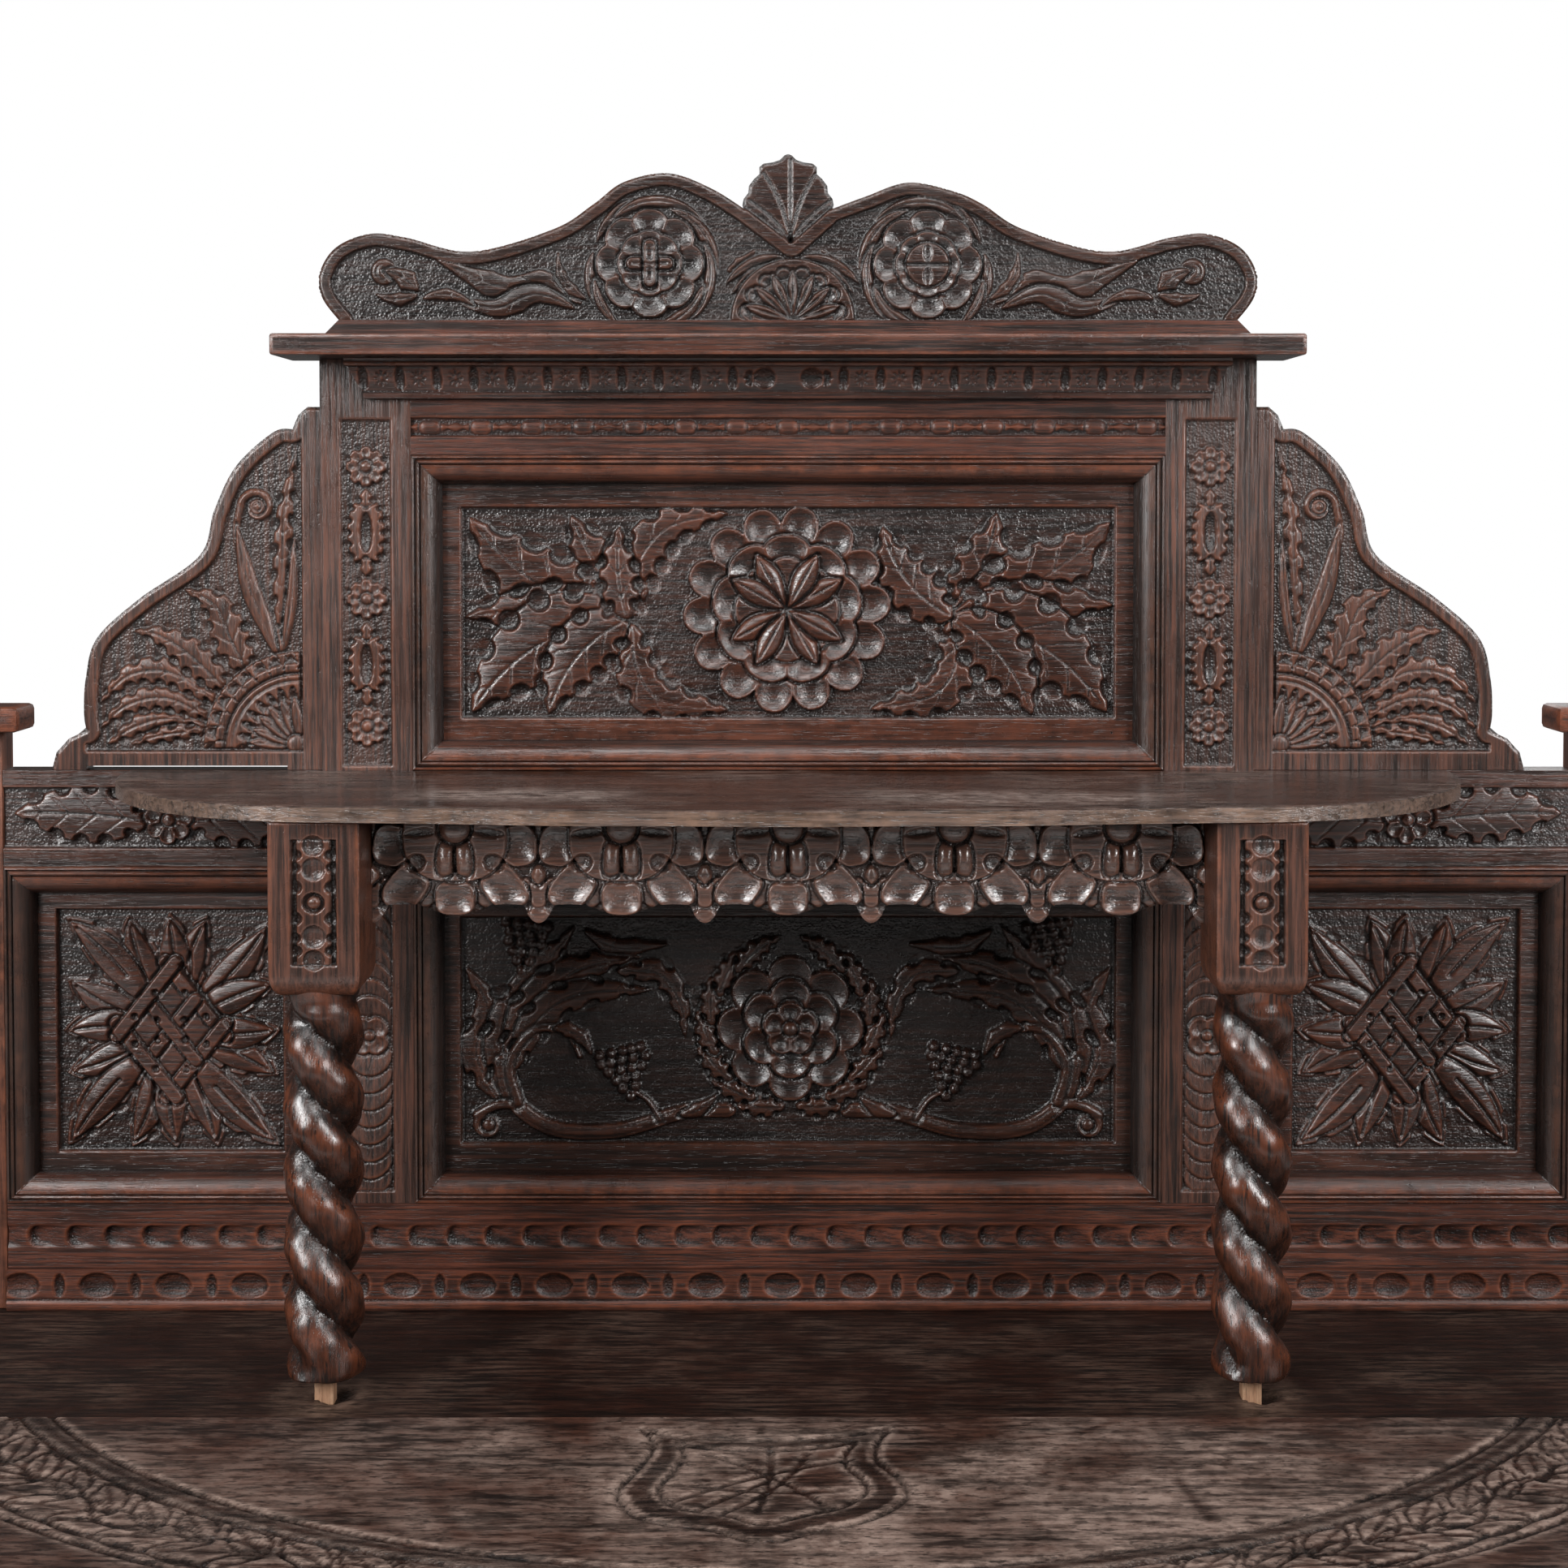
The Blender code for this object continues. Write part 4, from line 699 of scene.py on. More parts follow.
def floorGouge(relief, cx, cz, halfX, halfZ, depth, turn=0.0):
    # a gouge cut that goes at most a quarter of its depth below the ground
    reach = max(halfX, halfZ) + 2.0
    part = near(relief, cx - reach, cx + reach, cz - reach, cz + reach)
    dx, dz = relief["x"][part] - cx, relief["z"][part] - cz
    if dx.size == 0:
        return
    cos, sin = math.cos(math.radians(turn)), math.sin(math.radians(turn))
    away = np.hypot((dx * cos + dz * sin) / halfX, (dz * cos - dx * sin) / halfZ)
    field = 1.0 if relief["mask"] is None else relief["mask"][part]
    cut = depth * np.sqrt(np.clip(1.0 - away**2, 0.0, 1.0)) * field
    h = relief["h"][part]
    relief["h"][part] = np.where(cut > 0, np.maximum(h - cut, np.minimum(h, relief["level"] - 0.25 * cut)), h)
    relief["ground"][part] = np.where(cut > 0.8, 0.0, relief["ground"][part])


def stem(relief, path, width, high, thin=1.0, groove=0.0):
    # a round stem that narrows to thin times its width
    part, distance, share, _, _ = along(relief, path, width + 4.0)
    if distance.size == 0:
        return
    half = width * (1.0 + (thin - 1.0) * share)
    across = np.clip(distance / half, 0.0, 1.0)
    height = high * (0.35 + 0.65 * np.sqrt(1.0 - across**2))
    if groove:
        height -= groove * np.exp(-(((distance - 0.45 * half) / 0.7) ** 2))
    lay(relief, part, half - distance, height + relief["level"], sink=0.25)


def band(relief, path, half, high, line=0.0, soft=1.4):
    # a flat strap, with a cut line along each edge
    part, distance, _, _, _ = along(relief, path, half + 4.0)
    height = np.full(distance.shape, high)
    if line:
        height -= line * np.exp(-(((distance - 0.55 * half) / 0.8) ** 2))
    lay(relief, part, half - distance, height + relief["level"], soft)


def polar(relief, cx, cz, reach):
    part = near(relief, cx - reach, cx + reach, cz - reach, cz + reach)
    dx, dz = relief["x"][part] - cx, relief["z"][part] - cz
    return part, np.hypot(dx, dz), np.arctan2(dz, dx)


def petalRing(relief, cx, cz, inner, outer, count, high, scoop=0.65, notch=0.12, turn=0.0, arc=None):
    # scooped petals round a centre: ridges between them, and a scalloped outer edge
    part, radius, angle = polar(relief, cx, cz, outer + 4.0)
    if radius.size == 0:
        return
    phase = count * (angle - np.radians(turn)) / (2 * np.pi)
    across = 2.0 * np.abs(phase - np.round(phase))
    edge = outer * (1.0 - notch * across**2.5)
    out = np.clip((radius - inner) / np.maximum(edge - inner, 1.0), 0.0, 1.0)
    hollow = (1.0 - across**2) * np.sin(np.pi * out**0.9) ** 0.7
    height = high * (1.0 - scoop * hollow)
    inside = edge - radius
    if arc:
        middle, halfTurn = np.radians(0.5 * (arc[0] + arc[1])), np.radians(0.5 * (arc[1] - arc[0]))
        off = np.abs((angle - middle + np.pi) % (2 * np.pi) - np.pi)
        inside = np.minimum(inside, (halfTurn - off) * np.maximum(radius, 1.0))
    lay(relief, part, inside, height + relief["level"])


def dome(relief, cx, cz, radius, high, flat=0.5, ring=0.0):
    # a round button, with a ring cut in it if asked
    part, reach, _ = polar(relief, cx, cz, radius + 4.0)
    if reach.size == 0:
        return
    across = np.clip(reach / radius, 0.0, 1.0)
    height = high * (1.0 - flat + flat * np.sqrt(1.0 - across**2))
    if ring:
        height -= ring * np.exp(-(((reach - 0.55 * radius) / 0.9) ** 2))
    lay(relief, part, radius - reach, height + relief["level"], moat=1.6)


def bowl(relief, cx, cz, halfX, halfZ, rim, depth, turn=0.0, square=2.0):
    # a petal hollowed inside its rim; it swells where depth is below zero
    reach = max(halfX, halfZ) + 4.0
    part = near(relief, cx - reach, cx + reach, cz - reach, cz + reach)
    dx, dz = relief["x"][part] - cx, relief["z"][part] - cz
    if dx.size == 0:
        return
    cos, sin = math.cos(math.radians(turn)), math.sin(math.radians(turn))
    u, v = (dx * cos + dz * sin) / halfX, (dz * cos - dx * sin) / halfZ
    away = (np.abs(u)**square + np.abs(v)**square) ** (1.0 / square)
    height = rim - depth * (1.0 - np.clip(away, 0.0, 1.0) ** 2)
    lay(relief, part, (1.0 - away) * min(halfX, halfZ), height + relief["level"], 1.2, 1.6, 0.35)


def gouge(relief, cx, cz, halfX, halfZ, depth, turn=0.0):
    # a thumb-shaped hollow
    reach = max(halfX, halfZ) + 2.0
    part = near(relief, cx - reach, cx + reach, cz - reach, cz + reach)
    dx, dz = relief["x"][part] - cx, relief["z"][part] - cz
    cos, sin = math.cos(math.radians(turn)), math.sin(math.radians(turn))
    away = np.hypot((dx * cos + dz * sin) / halfX, (dz * cos - dx * sin) / halfZ)
    relief["h"][part] -= depth * np.sqrt(np.clip(1.0 - away**2, 0.0, 1.0))


def cutLine(relief, path, half, depth):
    # a V cut along a path
    part, distance, _, _, _ = along(relief, path, half * 2.5 + 1.0)
    if distance.size:
        relief["h"][part] -= depth * np.exp(-((distance / half) ** 2))


def grapes(relief, cx, cz, rows, radius, high, turn=0.0):
    # a bunch of round berries, row by row from its stalk to its tip
    cos, sin = math.cos(math.radians(turn)), math.sin(math.radians(turn))
    for row, count in enumerate(rows):
        down = (row - 0.5 * (len(rows) - 1)) * radius * 1.65
        for place in range(count):
            out = (place - 0.5 * (count - 1)) * radius * 1.95 + 0.35 * radius * math.sin(3.1 * row + place)
            x, z = cx + out * cos + down * sin, cz + out * sin - down * cos
            part, reach, _ = polar(relief, x, z, radius + 2.0)
            ball = high * np.sqrt(np.clip(1.0 - (reach / radius) ** 2, 0.0, 1.0))
            raised = relief["level"] + high * 0.25 + ball
            relief["h"][part] = np.where(reach < radius, np.maximum(relief["h"][part], raised),
                                         relief["h"][part])


# upper panel: a great flower between two sprays of holly-like leaves

upperPanelSettings = {
    "cell": 1.2, "field": (-283, 283, 1414, 1597), "depth": 6.0, "flower": (-1.0, 1508.0),
    "flowerReach": 90.0,
    # spray heart, then leaves as (tip, width, bow, lobes)
    "leftHeart": (-139, 1500),
    "leftLeaves": [((-188, 1590), 23, 0.02, 4), ((-276, 1588), 33, 0.10, 5), ((-280, 1502), 22, -0.05, 5),
                   ((-275, 1419), 35, -0.13, 6), ((-208, 1418), 26, -0.12, 5), ((-146, 1580), 17, 0.06, 4)],
    "leftArms": [([(-139, 1500), (-132, 1545), (-104, 1580), (-52, 1592)], 20, 6),
                 ([(-136, 1496), (-132, 1458), (-110, 1430), (-52, 1421)], 20, 6)],
    "rightHeart": (143, 1502),
    "rightLeaves": [((181, 1592), 24, -0.06, 4), ((279, 1584), 32, -0.07, 5), ((282, 1512), 21, 0.04, 5),
                    ((277, 1419), 36, 0.12, 6), ((212, 1417), 26, 0.10, 5), ((82, 1580), 23, 0.12, 5)],
    "rightArms": [([(140, 1498), (146, 1464), (126, 1434), (72, 1422)], 20, 6)],
}


def carveUpperPanel():
    s = upperPanelSettings
    low, high = corners("upper_panel")
    x0, x1, z0, z1 = s["field"]
    xs = spread(low[0], (-299, 8.0), (x0 - 3, 2.0), (x1 + 3, s["cell"]), (299, 2.0), (high[0], 8.0))
    zs = spread(low[2], (1395, 8.0), (z0 - 3, 2.0), (z1 + 3, s["cell"]), (1617, 2.0), (high[2], 8.0))
    relief = newRelief(xs, zs)
    sinkField(relief, x0, x1, z0, z1, s["depth"])
    for side in ("left", "right"):
        heart = s[side + "Heart"]
        for points, width, lobes in s[side + "Arms"]:
            leaf(relief, smoothPath(points, 6), width, 6.2, lobes, 0.26, 1.2, 1.0, 0.75, 0.8, scoop=0.86)
        for tip, width, bow, lobes in s[side + "Leaves"]:
            leaf(relief, curve(heart, tip, bow), width, 6.6, lobes, 0.24, 1.2, 1.2, 0.78, 1.0, 0.62,
                 scoop=0.86)
    cx, cz = s["flower"]
    reach = s["flowerReach"]
    petalRing(relief, cx, cz, 0.66 * reach, reach, 14, 7.6, 0.90, 0.16, 4)
    petalRing(relief, cx, cz, 0.36 * reach, 0.72 * reach, 9, 8.6, 0.80, 0.10, 90)
    petalRing(relief, cx, cz, 0.05 * reach, 0.50 * reach, 8, 5.4, 0.35, 0.10, 0)
    for step in range(8):
        angle = math.radians(45.0 + 90.0 * (step // 2) + (16.0 if step % 2 else -16.0))
        tip = (cx + 0.60 * reach * math.cos(angle), cz + 0.60 * reach * math.sin(angle))
        root = (cx + 2.0 * math.cos(angle), cz + 2.0 * math.sin(angle))
        leaf(relief, curve(root, tip), 9.5, 9.2, 0, rib=2.6, blunt=1.2)
    margin = 0.45 * ramp(z0 - 2.0 - relief["z"], 4.0)
    print("upper panel carved")
    return raiseBoard(relief, "carvedUpperPanel", "upper_panel", "carvedOak", low[1], high[1],
                      extraWearAndHighlight=margin)


def arcPath(cx, cz, radius, start, end, steps=24, drift=0.0):
    angle = np.radians(np.linspace(start, end, steps + 1))
    reach = radius + drift * np.linspace(0.0, 1.0, steps + 1)
    return np.stack([cx + reach * np.cos(angle), cz + reach * np.sin(angle)], axis=1)


# crest: two humps with a rosette in each, a leaf between them and a fan below it

crestSettings = {
    "cell": 1.0, "border": 10.5, "depth": 4.6, "humps": (126.5, 118.5), "valley": (37, 96), "vee": (3, 66),
    "crown": [(66, 0.90), (102, 1.0), (140, 0.94)],
    "shoulder": [(166, 100), (200, 79), (270, 60), (326, 72)],
    "end": [(357, 75), (386, 63), (400, 40), (397, 20), (382, 0)],
    "finial": [(0, 143), (3, 142), (7, 138), (13, 136), (21, 135), (24.5, 132), (24.5, 126), (29, 122),
               (33.5, 116), (34, 110), (38, 105), (39, 100)],
    "rosettes": ((-118.0, 50.0), (119.0, 49.0)), "rosetteReach": 46.0, "fan": (4.0, 1.0), "fanReach": 56.0,
    "longLeaf": [(176, 16), (205, 33), (245, 30), (302, 55)],
    "frond": [(182, 12), (215, 24), (250, 12), (290, 22)],
    # small leaves as root, tip, bow, width, height, lobes, bite
    "sprigs": [((172, 20), (196, 60), -0.18, 6, 4.0, 3, 0.3), ((316, 26), (344, 44), 0.1, 10, 4.6, 2, 0.3),
               ((316, 24), (352, 24), -0.12, 6, 4.2, 2, 0.25),
               ((312, 20), (268, 14), -0.15, 5.5, 3.8, 2, 0.25), ((52, 44), (28, 62), 0.1, 7.5, 4.2, 2, 0.3)],
}


def carveCrest():
    s = crestSettings
    low, high = corners("crest_board")
    base = low[2]

    def edge(hump):
        crown = [s["valley"]] + [(x, hump * share) for x, share in s["crown"]]
        return smoothPath(crown + s["shoulder"] + s["end"], 8)

    left, right = edge(s["humps"][0]) * (-1, 1), edge(s["humps"][1])
    finial = np.array(s["finial"], float)
    lift = (0.0, base)
    outline = np.vstack([finial, right, left[::-1], (finial * (-1, 1))[:0:-1]]) + lift
    topEdge = np.vstack([left[::-1], [s["vee"]], right]) + lift
    relief = newRelief(spread(low[0] - 1, (high[0] + 1, s["cell"])), spread(base, (high[2] + 1, s["cell"])))
    x, z = relief["x"], relief["z"]
    away = nearestOnPath(x, z, topEdge)[0]
    under = insideOutline(x, z, topEdge)
    field = np.where(under, np.minimum(away - s["border"], z - base - 1.5), -away - 1.0)
    sinkGround(relief, field, s["depth"])
    rounding = nearestOnPath(x, z, np.vstack([outline, outline[:1]]))[0]
    relief["h"] -= 1.3 * (1.0 - ramp(rounding - 1.5, 3.0))
    tip = np.where(under, 0.0, ramp(away - 0.5, 2.0))
    relief["h"] -= tip * (2.2 + 0.035 * np.abs(x - 2))
    for end in ((2, 138), (-21, 127), (24, 127), (-33, 104), (36, 104)):
        cutLine(relief, curve((2, base + 69), (end[0], base + end[1]), 0.06 * np.sign(end[0] - 2)), 1.3, 1.9)
    for side, (cx, cz) in zip((-1, 1), s["rosettes"]):
        cz += base
        reach = s["rosetteReach"]
        # leafy scroll round the rosette, then the rosette
        for start, sweep, drift, wide in ((158, -96, 5, 5.5), (128, -92, 9, 5.0), (70, -96, 8, 5.5),
                                          (20, -84, 10, 5.0), (-22, -70, 6, 5.5), (168, 62, 9, 5.0),
                                          (196, 48, 10, 4.0)):
            angle = start if side < 0 else 180 - start
            turned = sweep if side < 0 else -sweep
            path = arcPath(cx, cz, reach + 3, angle, angle + turned, 16, drift)
            leaf(relief, path, wide, 4.6, 0, rib=1.5, blunt=0.9)
        petalRing(relief, cx, cz, 24, reach, 8, 5.6, 0.80, 0.12, 0)
        petalRing(relief, cx, cz, 10, 0.60 * reach, 8, 5.2, 0.70, 0.06, 0)
        if side < 0:
            for path in (curve((cx - 15, cz), (cx + 15, cz)), curve((cx, cz - 15), (cx, cz + 15))):
                band(relief, path, 5.0, 6.0)
            for dx, dz in ((0, 9), (0, -9)):
                gouge(relief, cx + dx, cz + dz, 4.0, 8.0, 1.8)
            cutLine(relief, curve((cx - 14, cz), (cx + 14, cz)), 1.0, 1.6)
        else:
            dome(relief, cx, cz, 18.5, 6.0, flat=0.25)
            for dz in (10, -10):
                gouge(relief, cx, cz + dz, 4.0, 8.5, 2.2)
            cutLine(relief, curve((cx - 18, cz), (cx + 18, cz)), 1.6, 2.4)
        # long leaf towards the end, with its lower frond
        turn = np.array([side, 1])
        longLeaf, frond = (smoothPath(np.array(s[key]) * turn + lift, 8) for key in ("longLeaf", "frond"))
        leaf(relief, longLeaf, 13, 4.6, 3, 0.24, blunt=0.85, vein=0.8)
        leaf(relief, frond, 10, 4.2, 2, 0.2, blunt=0.9)
        dome(relief, side * 345, base + 43, 11, 4.4, flat=0.5, ring=0.8)  # bud in the round end
        for start, end, bow, width, rise, lobes, bite in s["sprigs"]:
            leaf(relief, curve(start * turn + lift, end * turn + lift, bow * side), width, rise, lobes, bite)
    fx, fz = s["fan"][0], base + s["fan"][1]
    reach = s["fanReach"]
    for lean in (-1, 1):
        for spot, far in ((0.95, 24), (0.80, 20)):
            path = arcPath(fx, fz, spot * reach, 90 - 6 * lean, 90 - (85 - far) * lean, 14, 12)
            leaf(relief, path, 5.0, 4.6, 0, rib=1.5, blunt=0.8)
    petalRing(relief, fx, fz, 0.78 * reach, 0.94 * reach, 2, 4.8, 0.0, 0.0, 0, arc=(-5, 185))
    petalRing(relief, fx, fz, 0.50 * reach, 0.80 * reach, 16, 4.6, 0.85, 0.18, 11.25, arc=(-5, 185))
    petalRing(relief, fx, fz, 2.0, 0.62 * reach, 2, 4.4, 0.0, 0.0, 0, arc=(-5, 185))
    for step in range(7):
        angle = math.radians(18 + 144 / 6 * step)
        middle = (fx + 0.40 * reach * math.cos(angle), fz + 0.40 * reach * math.sin(angle))
        end = (fx + 0.76 * reach * math.cos(angle), fz + 0.76 * reach * math.sin(angle))
        leaf(relief, curve((fx, fz), end), 4.6, 5.4, 0, rib=2.0, blunt=1.5)
        gouge(relief, middle[0], middle[1], 9.0, 1.6, 1.2, math.degrees(angle))
    print("crest carved")
    return raiseBoard(relief, "carvedCrest", "crest_board", "crestOak", low[1], high[1], outline=outline)


# wings: a quarter fan, leaves that spread from it and a scrolled stem

wingSettings = {
    "cell": 1.08, "depth": 4.4, "border": 11.5, "post": 17.0, "sill": 16.0,
    "top": [(0, 313), (11, 313), (19, 306), (24, 294)],
    "edge": [(41, 291), (73, 262), (92, 224), (105, 185), (157, 148), (194, 114)],
    "lowEdge": [(204, 80), (206, 50), (204, 34)], "foot": [(219, 27), (230, 15), (234, 0)],
    "undercut": [(204, 0), (204, 3.5), (30, 3.5), (30, 0)],
    "fan": (20.0, 19.0), "fanReach": 51.0,
    # leaves as points from root to tip, width, lobes
    "leaves": [([(92, 30), (128, 44), (160, 38), (186, 22)], 12, 6),
               ([(96, 44), (134, 62), (168, 56), (192, 36)], 11, 7),
               ([(90, 58), (130, 84), (166, 82), (192, 58)], 12, 7),
               ([(80, 66), (112, 98), (140, 116), (162, 120)], 14, 6),
               ([(62, 80), (78, 112), (92, 142), (118, 156)], 16, 6),
               ([(104, 34), (138, 30), (166, 22)], 7, 4)],
}


def carveWing(name, side):
    s = wingSettings
    low, high = corners("wing_" + name)
    startX, base = (low[0] if side > 0 else -high[0]), low[2]
    curveEdge = smoothPath([s["top"][-1]] + s["edge"] + s["lowEdge"], 10)
    under = [s["undercut"]] if side < 0 else []
    outline = np.vstack([s["top"], curveEdge[1:], s["foot"]] + under + [[(0, 0)]])
    relief = newRelief(spread(-1, (235, s["cell"])), spread(-1, (314, s["cell"])))
    x, z = relief["x"], relief["z"]
    away = nearestOnPath(x, z, np.vstack([[(0, 306), (16, 306)], curveEdge]))[0]
    inner = insideOutline(x, z, np.vstack([[(0, 0), (0, 306)], curveEdge, [(204, 0)]]))
    field = np.minimum(np.minimum(x - s["post"], z - s["sill"]), away - s["border"])
    sinkGround(relief, np.where(inner, field, -5.0), s["depth"])
    rounding = nearestOnPath(x, z, np.vstack([s["top"], curveEdge[1:], s["foot"]]))[0]
    relief["h"] -= 1.5 * (1.0 - ramp(rounding - 1.5, 3.2))
    cutLine(relief, curve((s["post"], 0), (s["post"], 306)), 0.8, 1.0)
    # serrated spear by the post, scrolled stem, then the leaves and the quarter fan
    spear = smoothPath([(37, 112), (34, 170), (31, 225), (22, 272)], 8)
    leaf(relief, spear, 8.5, 4.8, 7, 0.26, 1.4, 0.5, 0.9, scoop=0.8)
    leaf(relief, smoothPath([(34, 100), (26, 150), (24, 200)], 8), 4.5, 4.2, 0, rib=1.2)
    scroll = np.vstack([smoothPath([(36, 98), (44, 128), (62, 160), (73, 200), (70, 226)], 8),
                        coil((55, 227), 15, 1.1, 0, 30, 0.3)[1:]])
    stem(relief, scroll, 4.0, 4.9, 0.75, groove=0.9)
    leaf(relief, smoothPath([(38, 96), (50, 128), (63, 162), (73, 212)], 8), 8.0, 5.0, 0, rib=1.3, blunt=0.95)
    dome(relief, 55, 227, 6.5, 4.8, ring=1.8)
    for points, width, lobes in s["leaves"]:
        leaf(relief, smoothPath(points, 8), width, 5.0, lobes, 0.2, 1.6, 0.9, 0.8, 0.6, 0.7, scoop=0.78)
    fx, fz = s["fan"]
    reach = s["fanReach"]
    petalRing(relief, fx, fz, 1.28 * reach, 1.62 * reach, 4, 4.9, 0.0, 0.0, 0, arc=(0, 90))
    petalRing(relief, fx, fz, 1.42 * reach, 1.62 * reach, 34, 4.9, 0.9, 0.22, 0, arc=(0, 90))
    petalRing(relief, fx, fz, 1.04 * reach, 1.24 * reach, 4, 4.9, 0.0, 0.0, 0, arc=(0, 90))
    cutLine(relief, arcPath(fx, fz, 1.14 * reach, 0, 90), 1.2, 1.6)
    petalRing(relief, fx, fz, 0.82 * reach, reach, 30, 4.2, 0.9, 0.30, 0, arc=(0, 90))
    for step in range(6):
        angle = math.radians(6 + 15.6 * step)
        end = (fx + 0.86 * reach * math.cos(angle), fz + 0.86 * reach * math.sin(angle))
        leaf(relief, curve((fx, fz), end, 0.02), 4.6, 4.6, 0, rib=1.6, blunt=1.35)
    dome(relief, fx + 3, fz + 3, 8.0, 4.8, flat=0.5)
    # the wing is drawn outwards from the stile, so it is turned over for the left side
    relief["xs"], relief["x"] = relief["xs"] + startX, relief["x"] + startX
    outline = outline + (startX, 0.0)
    relief["zs"], relief["z"], outline = relief["zs"] + base, relief["z"] + base, outline + (0.0, base)
    if side < 0:
        for key in ("x", "z", "h", "ground"):
            relief[key] = relief[key][:, ::-1]
        relief["x"], relief["xs"] = -relief["x"], -relief["xs"][::-1]
        outline = (outline * (-1, 1))[::-1]
    print("wing carved:", name)
    return raiseBoard(relief, name + "CarvedWing", "wing_" + name, "carvedStileOak", low[1], high[1],
                      outline=outline)


# inner stiles: rosettes and pointed cartouches above the shelf, fish scales below it

stileSettings = {
    "cell": 1.18, "span": (324.0, 402.0), "foot": 993.2, "strip": (342, 384), "upper": (1374, 1672),
    "lower": (1004, 1262), "depth": 3.6, "rosettes": (1632, 1518, 1408),
    "cartouches": ((1611, 1540), (1496, 1428)), "lowerRosette": 1139, "scale": 15.0,
}


def carveStile(name, side):
    s = stileSettings
    low, high = corners("inner_stile_" + name)
    x0, x1 = sorted((side * s["strip"][0], side * s["strip"][1]))
    middle = 0.5 * (x0 + x1)
    low[0], high[0] = sorted((side * s["span"][0], side * s["span"][1]))
    low[2] = s["foot"]
    relief = newRelief(spread(low[0], (high[0], s["cell"])), spread(low[2], (high[2], s["cell"])))
    sinkField(relief, x0, x1, s["upper"][0], s["upper"][1], s["depth"])
    for z in s["rosettes"]:
        petalRing(relief, middle, z, 5, 17.0, 8, 4.6, 0.45, 0.12, 0)
        for step in range(8):
            angle = math.radians(22.5 + 45.0 * step)
            px, pz = middle + 17.0 * math.cos(angle), z + 17.0 * math.sin(angle)
            floorGouge(relief, px, pz, 3.4, 3.0, 5.0, 22.5 + 45.0 * step)
        dome(relief, middle, z, 5.2, 5.2, flat=0.7)
    for top, bottom in s["cartouches"]:
        # toothed oval with a slot through its middle and a small bud at each end
        centre, tall = 0.5 * (top + bottom), 0.5 * (top - bottom) - 7.0
        bowl(relief, middle, centre, 15.8, tall + 1.0, 4.8, -0.5, 0.0, 2.3)
        for up in (-1, 1):
            path = curve((middle, centre + up * (tall - 6)), (middle, centre + up * (tall + 9)))
            leaf(relief, path, 6.5, 4.6, 0, rib=0.6, blunt=0.7)
            for lean in (-1, 1):
                floorGouge(relief, middle + 7.0 * lean, centre + up * (tall - 1), 4.0, 3.6, 5.0)
                for share in (0.0, 0.36, 0.72) if up > 0 else (0.36, 0.72):
                    reach = 16.4 * math.sqrt(1.0 - 0.7 * share**2)
                    floorGouge(relief, middle + reach * lean, centre + up * share * tall, 4.2, 3.2, 5.0)
        gouge(relief, middle, centre, 6.0, 18.0, 6.0)
    sinkField(relief, x0, x1, s["lower"][0], s["lower"][1], s["depth"])
    rosette = s["lowerRosette"]
    for away, reach in ((1, s["lower"][1]), (-1, s["lower"][0])):
        count = int((abs(reach - rosette) - 26) / s["scale"])
        for step in range(count, -1, -1):
            z = rosette + away * (16 + s["scale"] * step)
            part, radius, _ = polar(relief, middle, z, 23)
            rise = np.clip(away * (relief["z"][part] - z) / 19.0, -0.2, 1.0)
            lay(relief, part, 19.0 - radius, relief["level"] + 1.6 + 2.8 * rise, moat=1.2)
    petalRing(relief, middle, rosette, 4, 18, 4, 4.6, 0.6, 0.22, 45)
    dome(relief, middle, rosette, 4.5, 5.0)
    print("stile carved:", name)
    return raiseBoard(relief, name + "CarvedStile", "inner_stile_" + name, "carvedStileOak", low[1], high[1])


# upper rail: bead and reel in a sunk strip

upperRailSettings = {"cell": 1.2, "half": 324, "strip": (1658.0, 1673.5), "pitch": 44.0, "bead": 9.5,
                     "flat": 4.0, "depth": 3.4}


def carveUpperRail():
    s = upperRailSettings
    low, high = corners("upper_rail")
    low[0], high[0] = -s["half"], s["half"]
    z0, z1 = s["strip"]
    zs = spread(low[2], (z0 - 3, 4.0), (z1 + 3, 1.0), (1692, 4.0), (high[2], 12.0))
    relief = newRelief(spread(low[0], (high[0], s["cell"])), zs)
    sinkField(relief, low[0] - 5, high[0] + 5, z0, z1, s["depth"], 0.3)
    middle = 0.5 * (z0 + z1)
    x, z = relief["x"], relief["z"]
    stepped = (x + 0.5 * s["pitch"]) % s["pitch"] - 0.5 * s["pitch"]
    pastFlat = np.clip(np.abs(stepped) - s["flat"], 0, None) / (s["bead"] - s["flat"])
    bead = 1.0 - np.hypot(pastFlat, (z - middle) / 6.2)
    beadHeight = -s["depth"] + 3.4 * np.clip(bead, 0, 1) ** 0.35
    spindle = 1.0 - np.abs(z - middle) / (1.4 + 3.2 * np.abs(np.abs(stepped) - 15.5) / 7.0)
    between = np.abs(stepped) > s["bead"] + 0.5
    spindleHeight = -s["depth"] + 2.6 * np.clip(spindle, 0, 1) ** 0.5
    inStrip = (z > z0) & (z < z1)
    shaped = np.where(between, spindleHeight, beadHeight)
    relief["h"] = np.where(inStrip, np.maximum(relief["h"], shaped), relief["h"])
    relief["ground"] = np.where(inStrip & (shaped > -s["depth"] + 0.8), 0.0, relief["ground"])
    for line in (z0 - 5.5, z1 + 5.5):
        cutLine(relief, curve((low[0], line), (high[0], line)), 0.7, 0.7)
    print("upper rail carved")
    return raiseBoard(relief, "carvedUpperRail", "upper_rail", "railOak", low[1], high[1])


# cornice moulding: fluted notches and punched stars on its hollow face

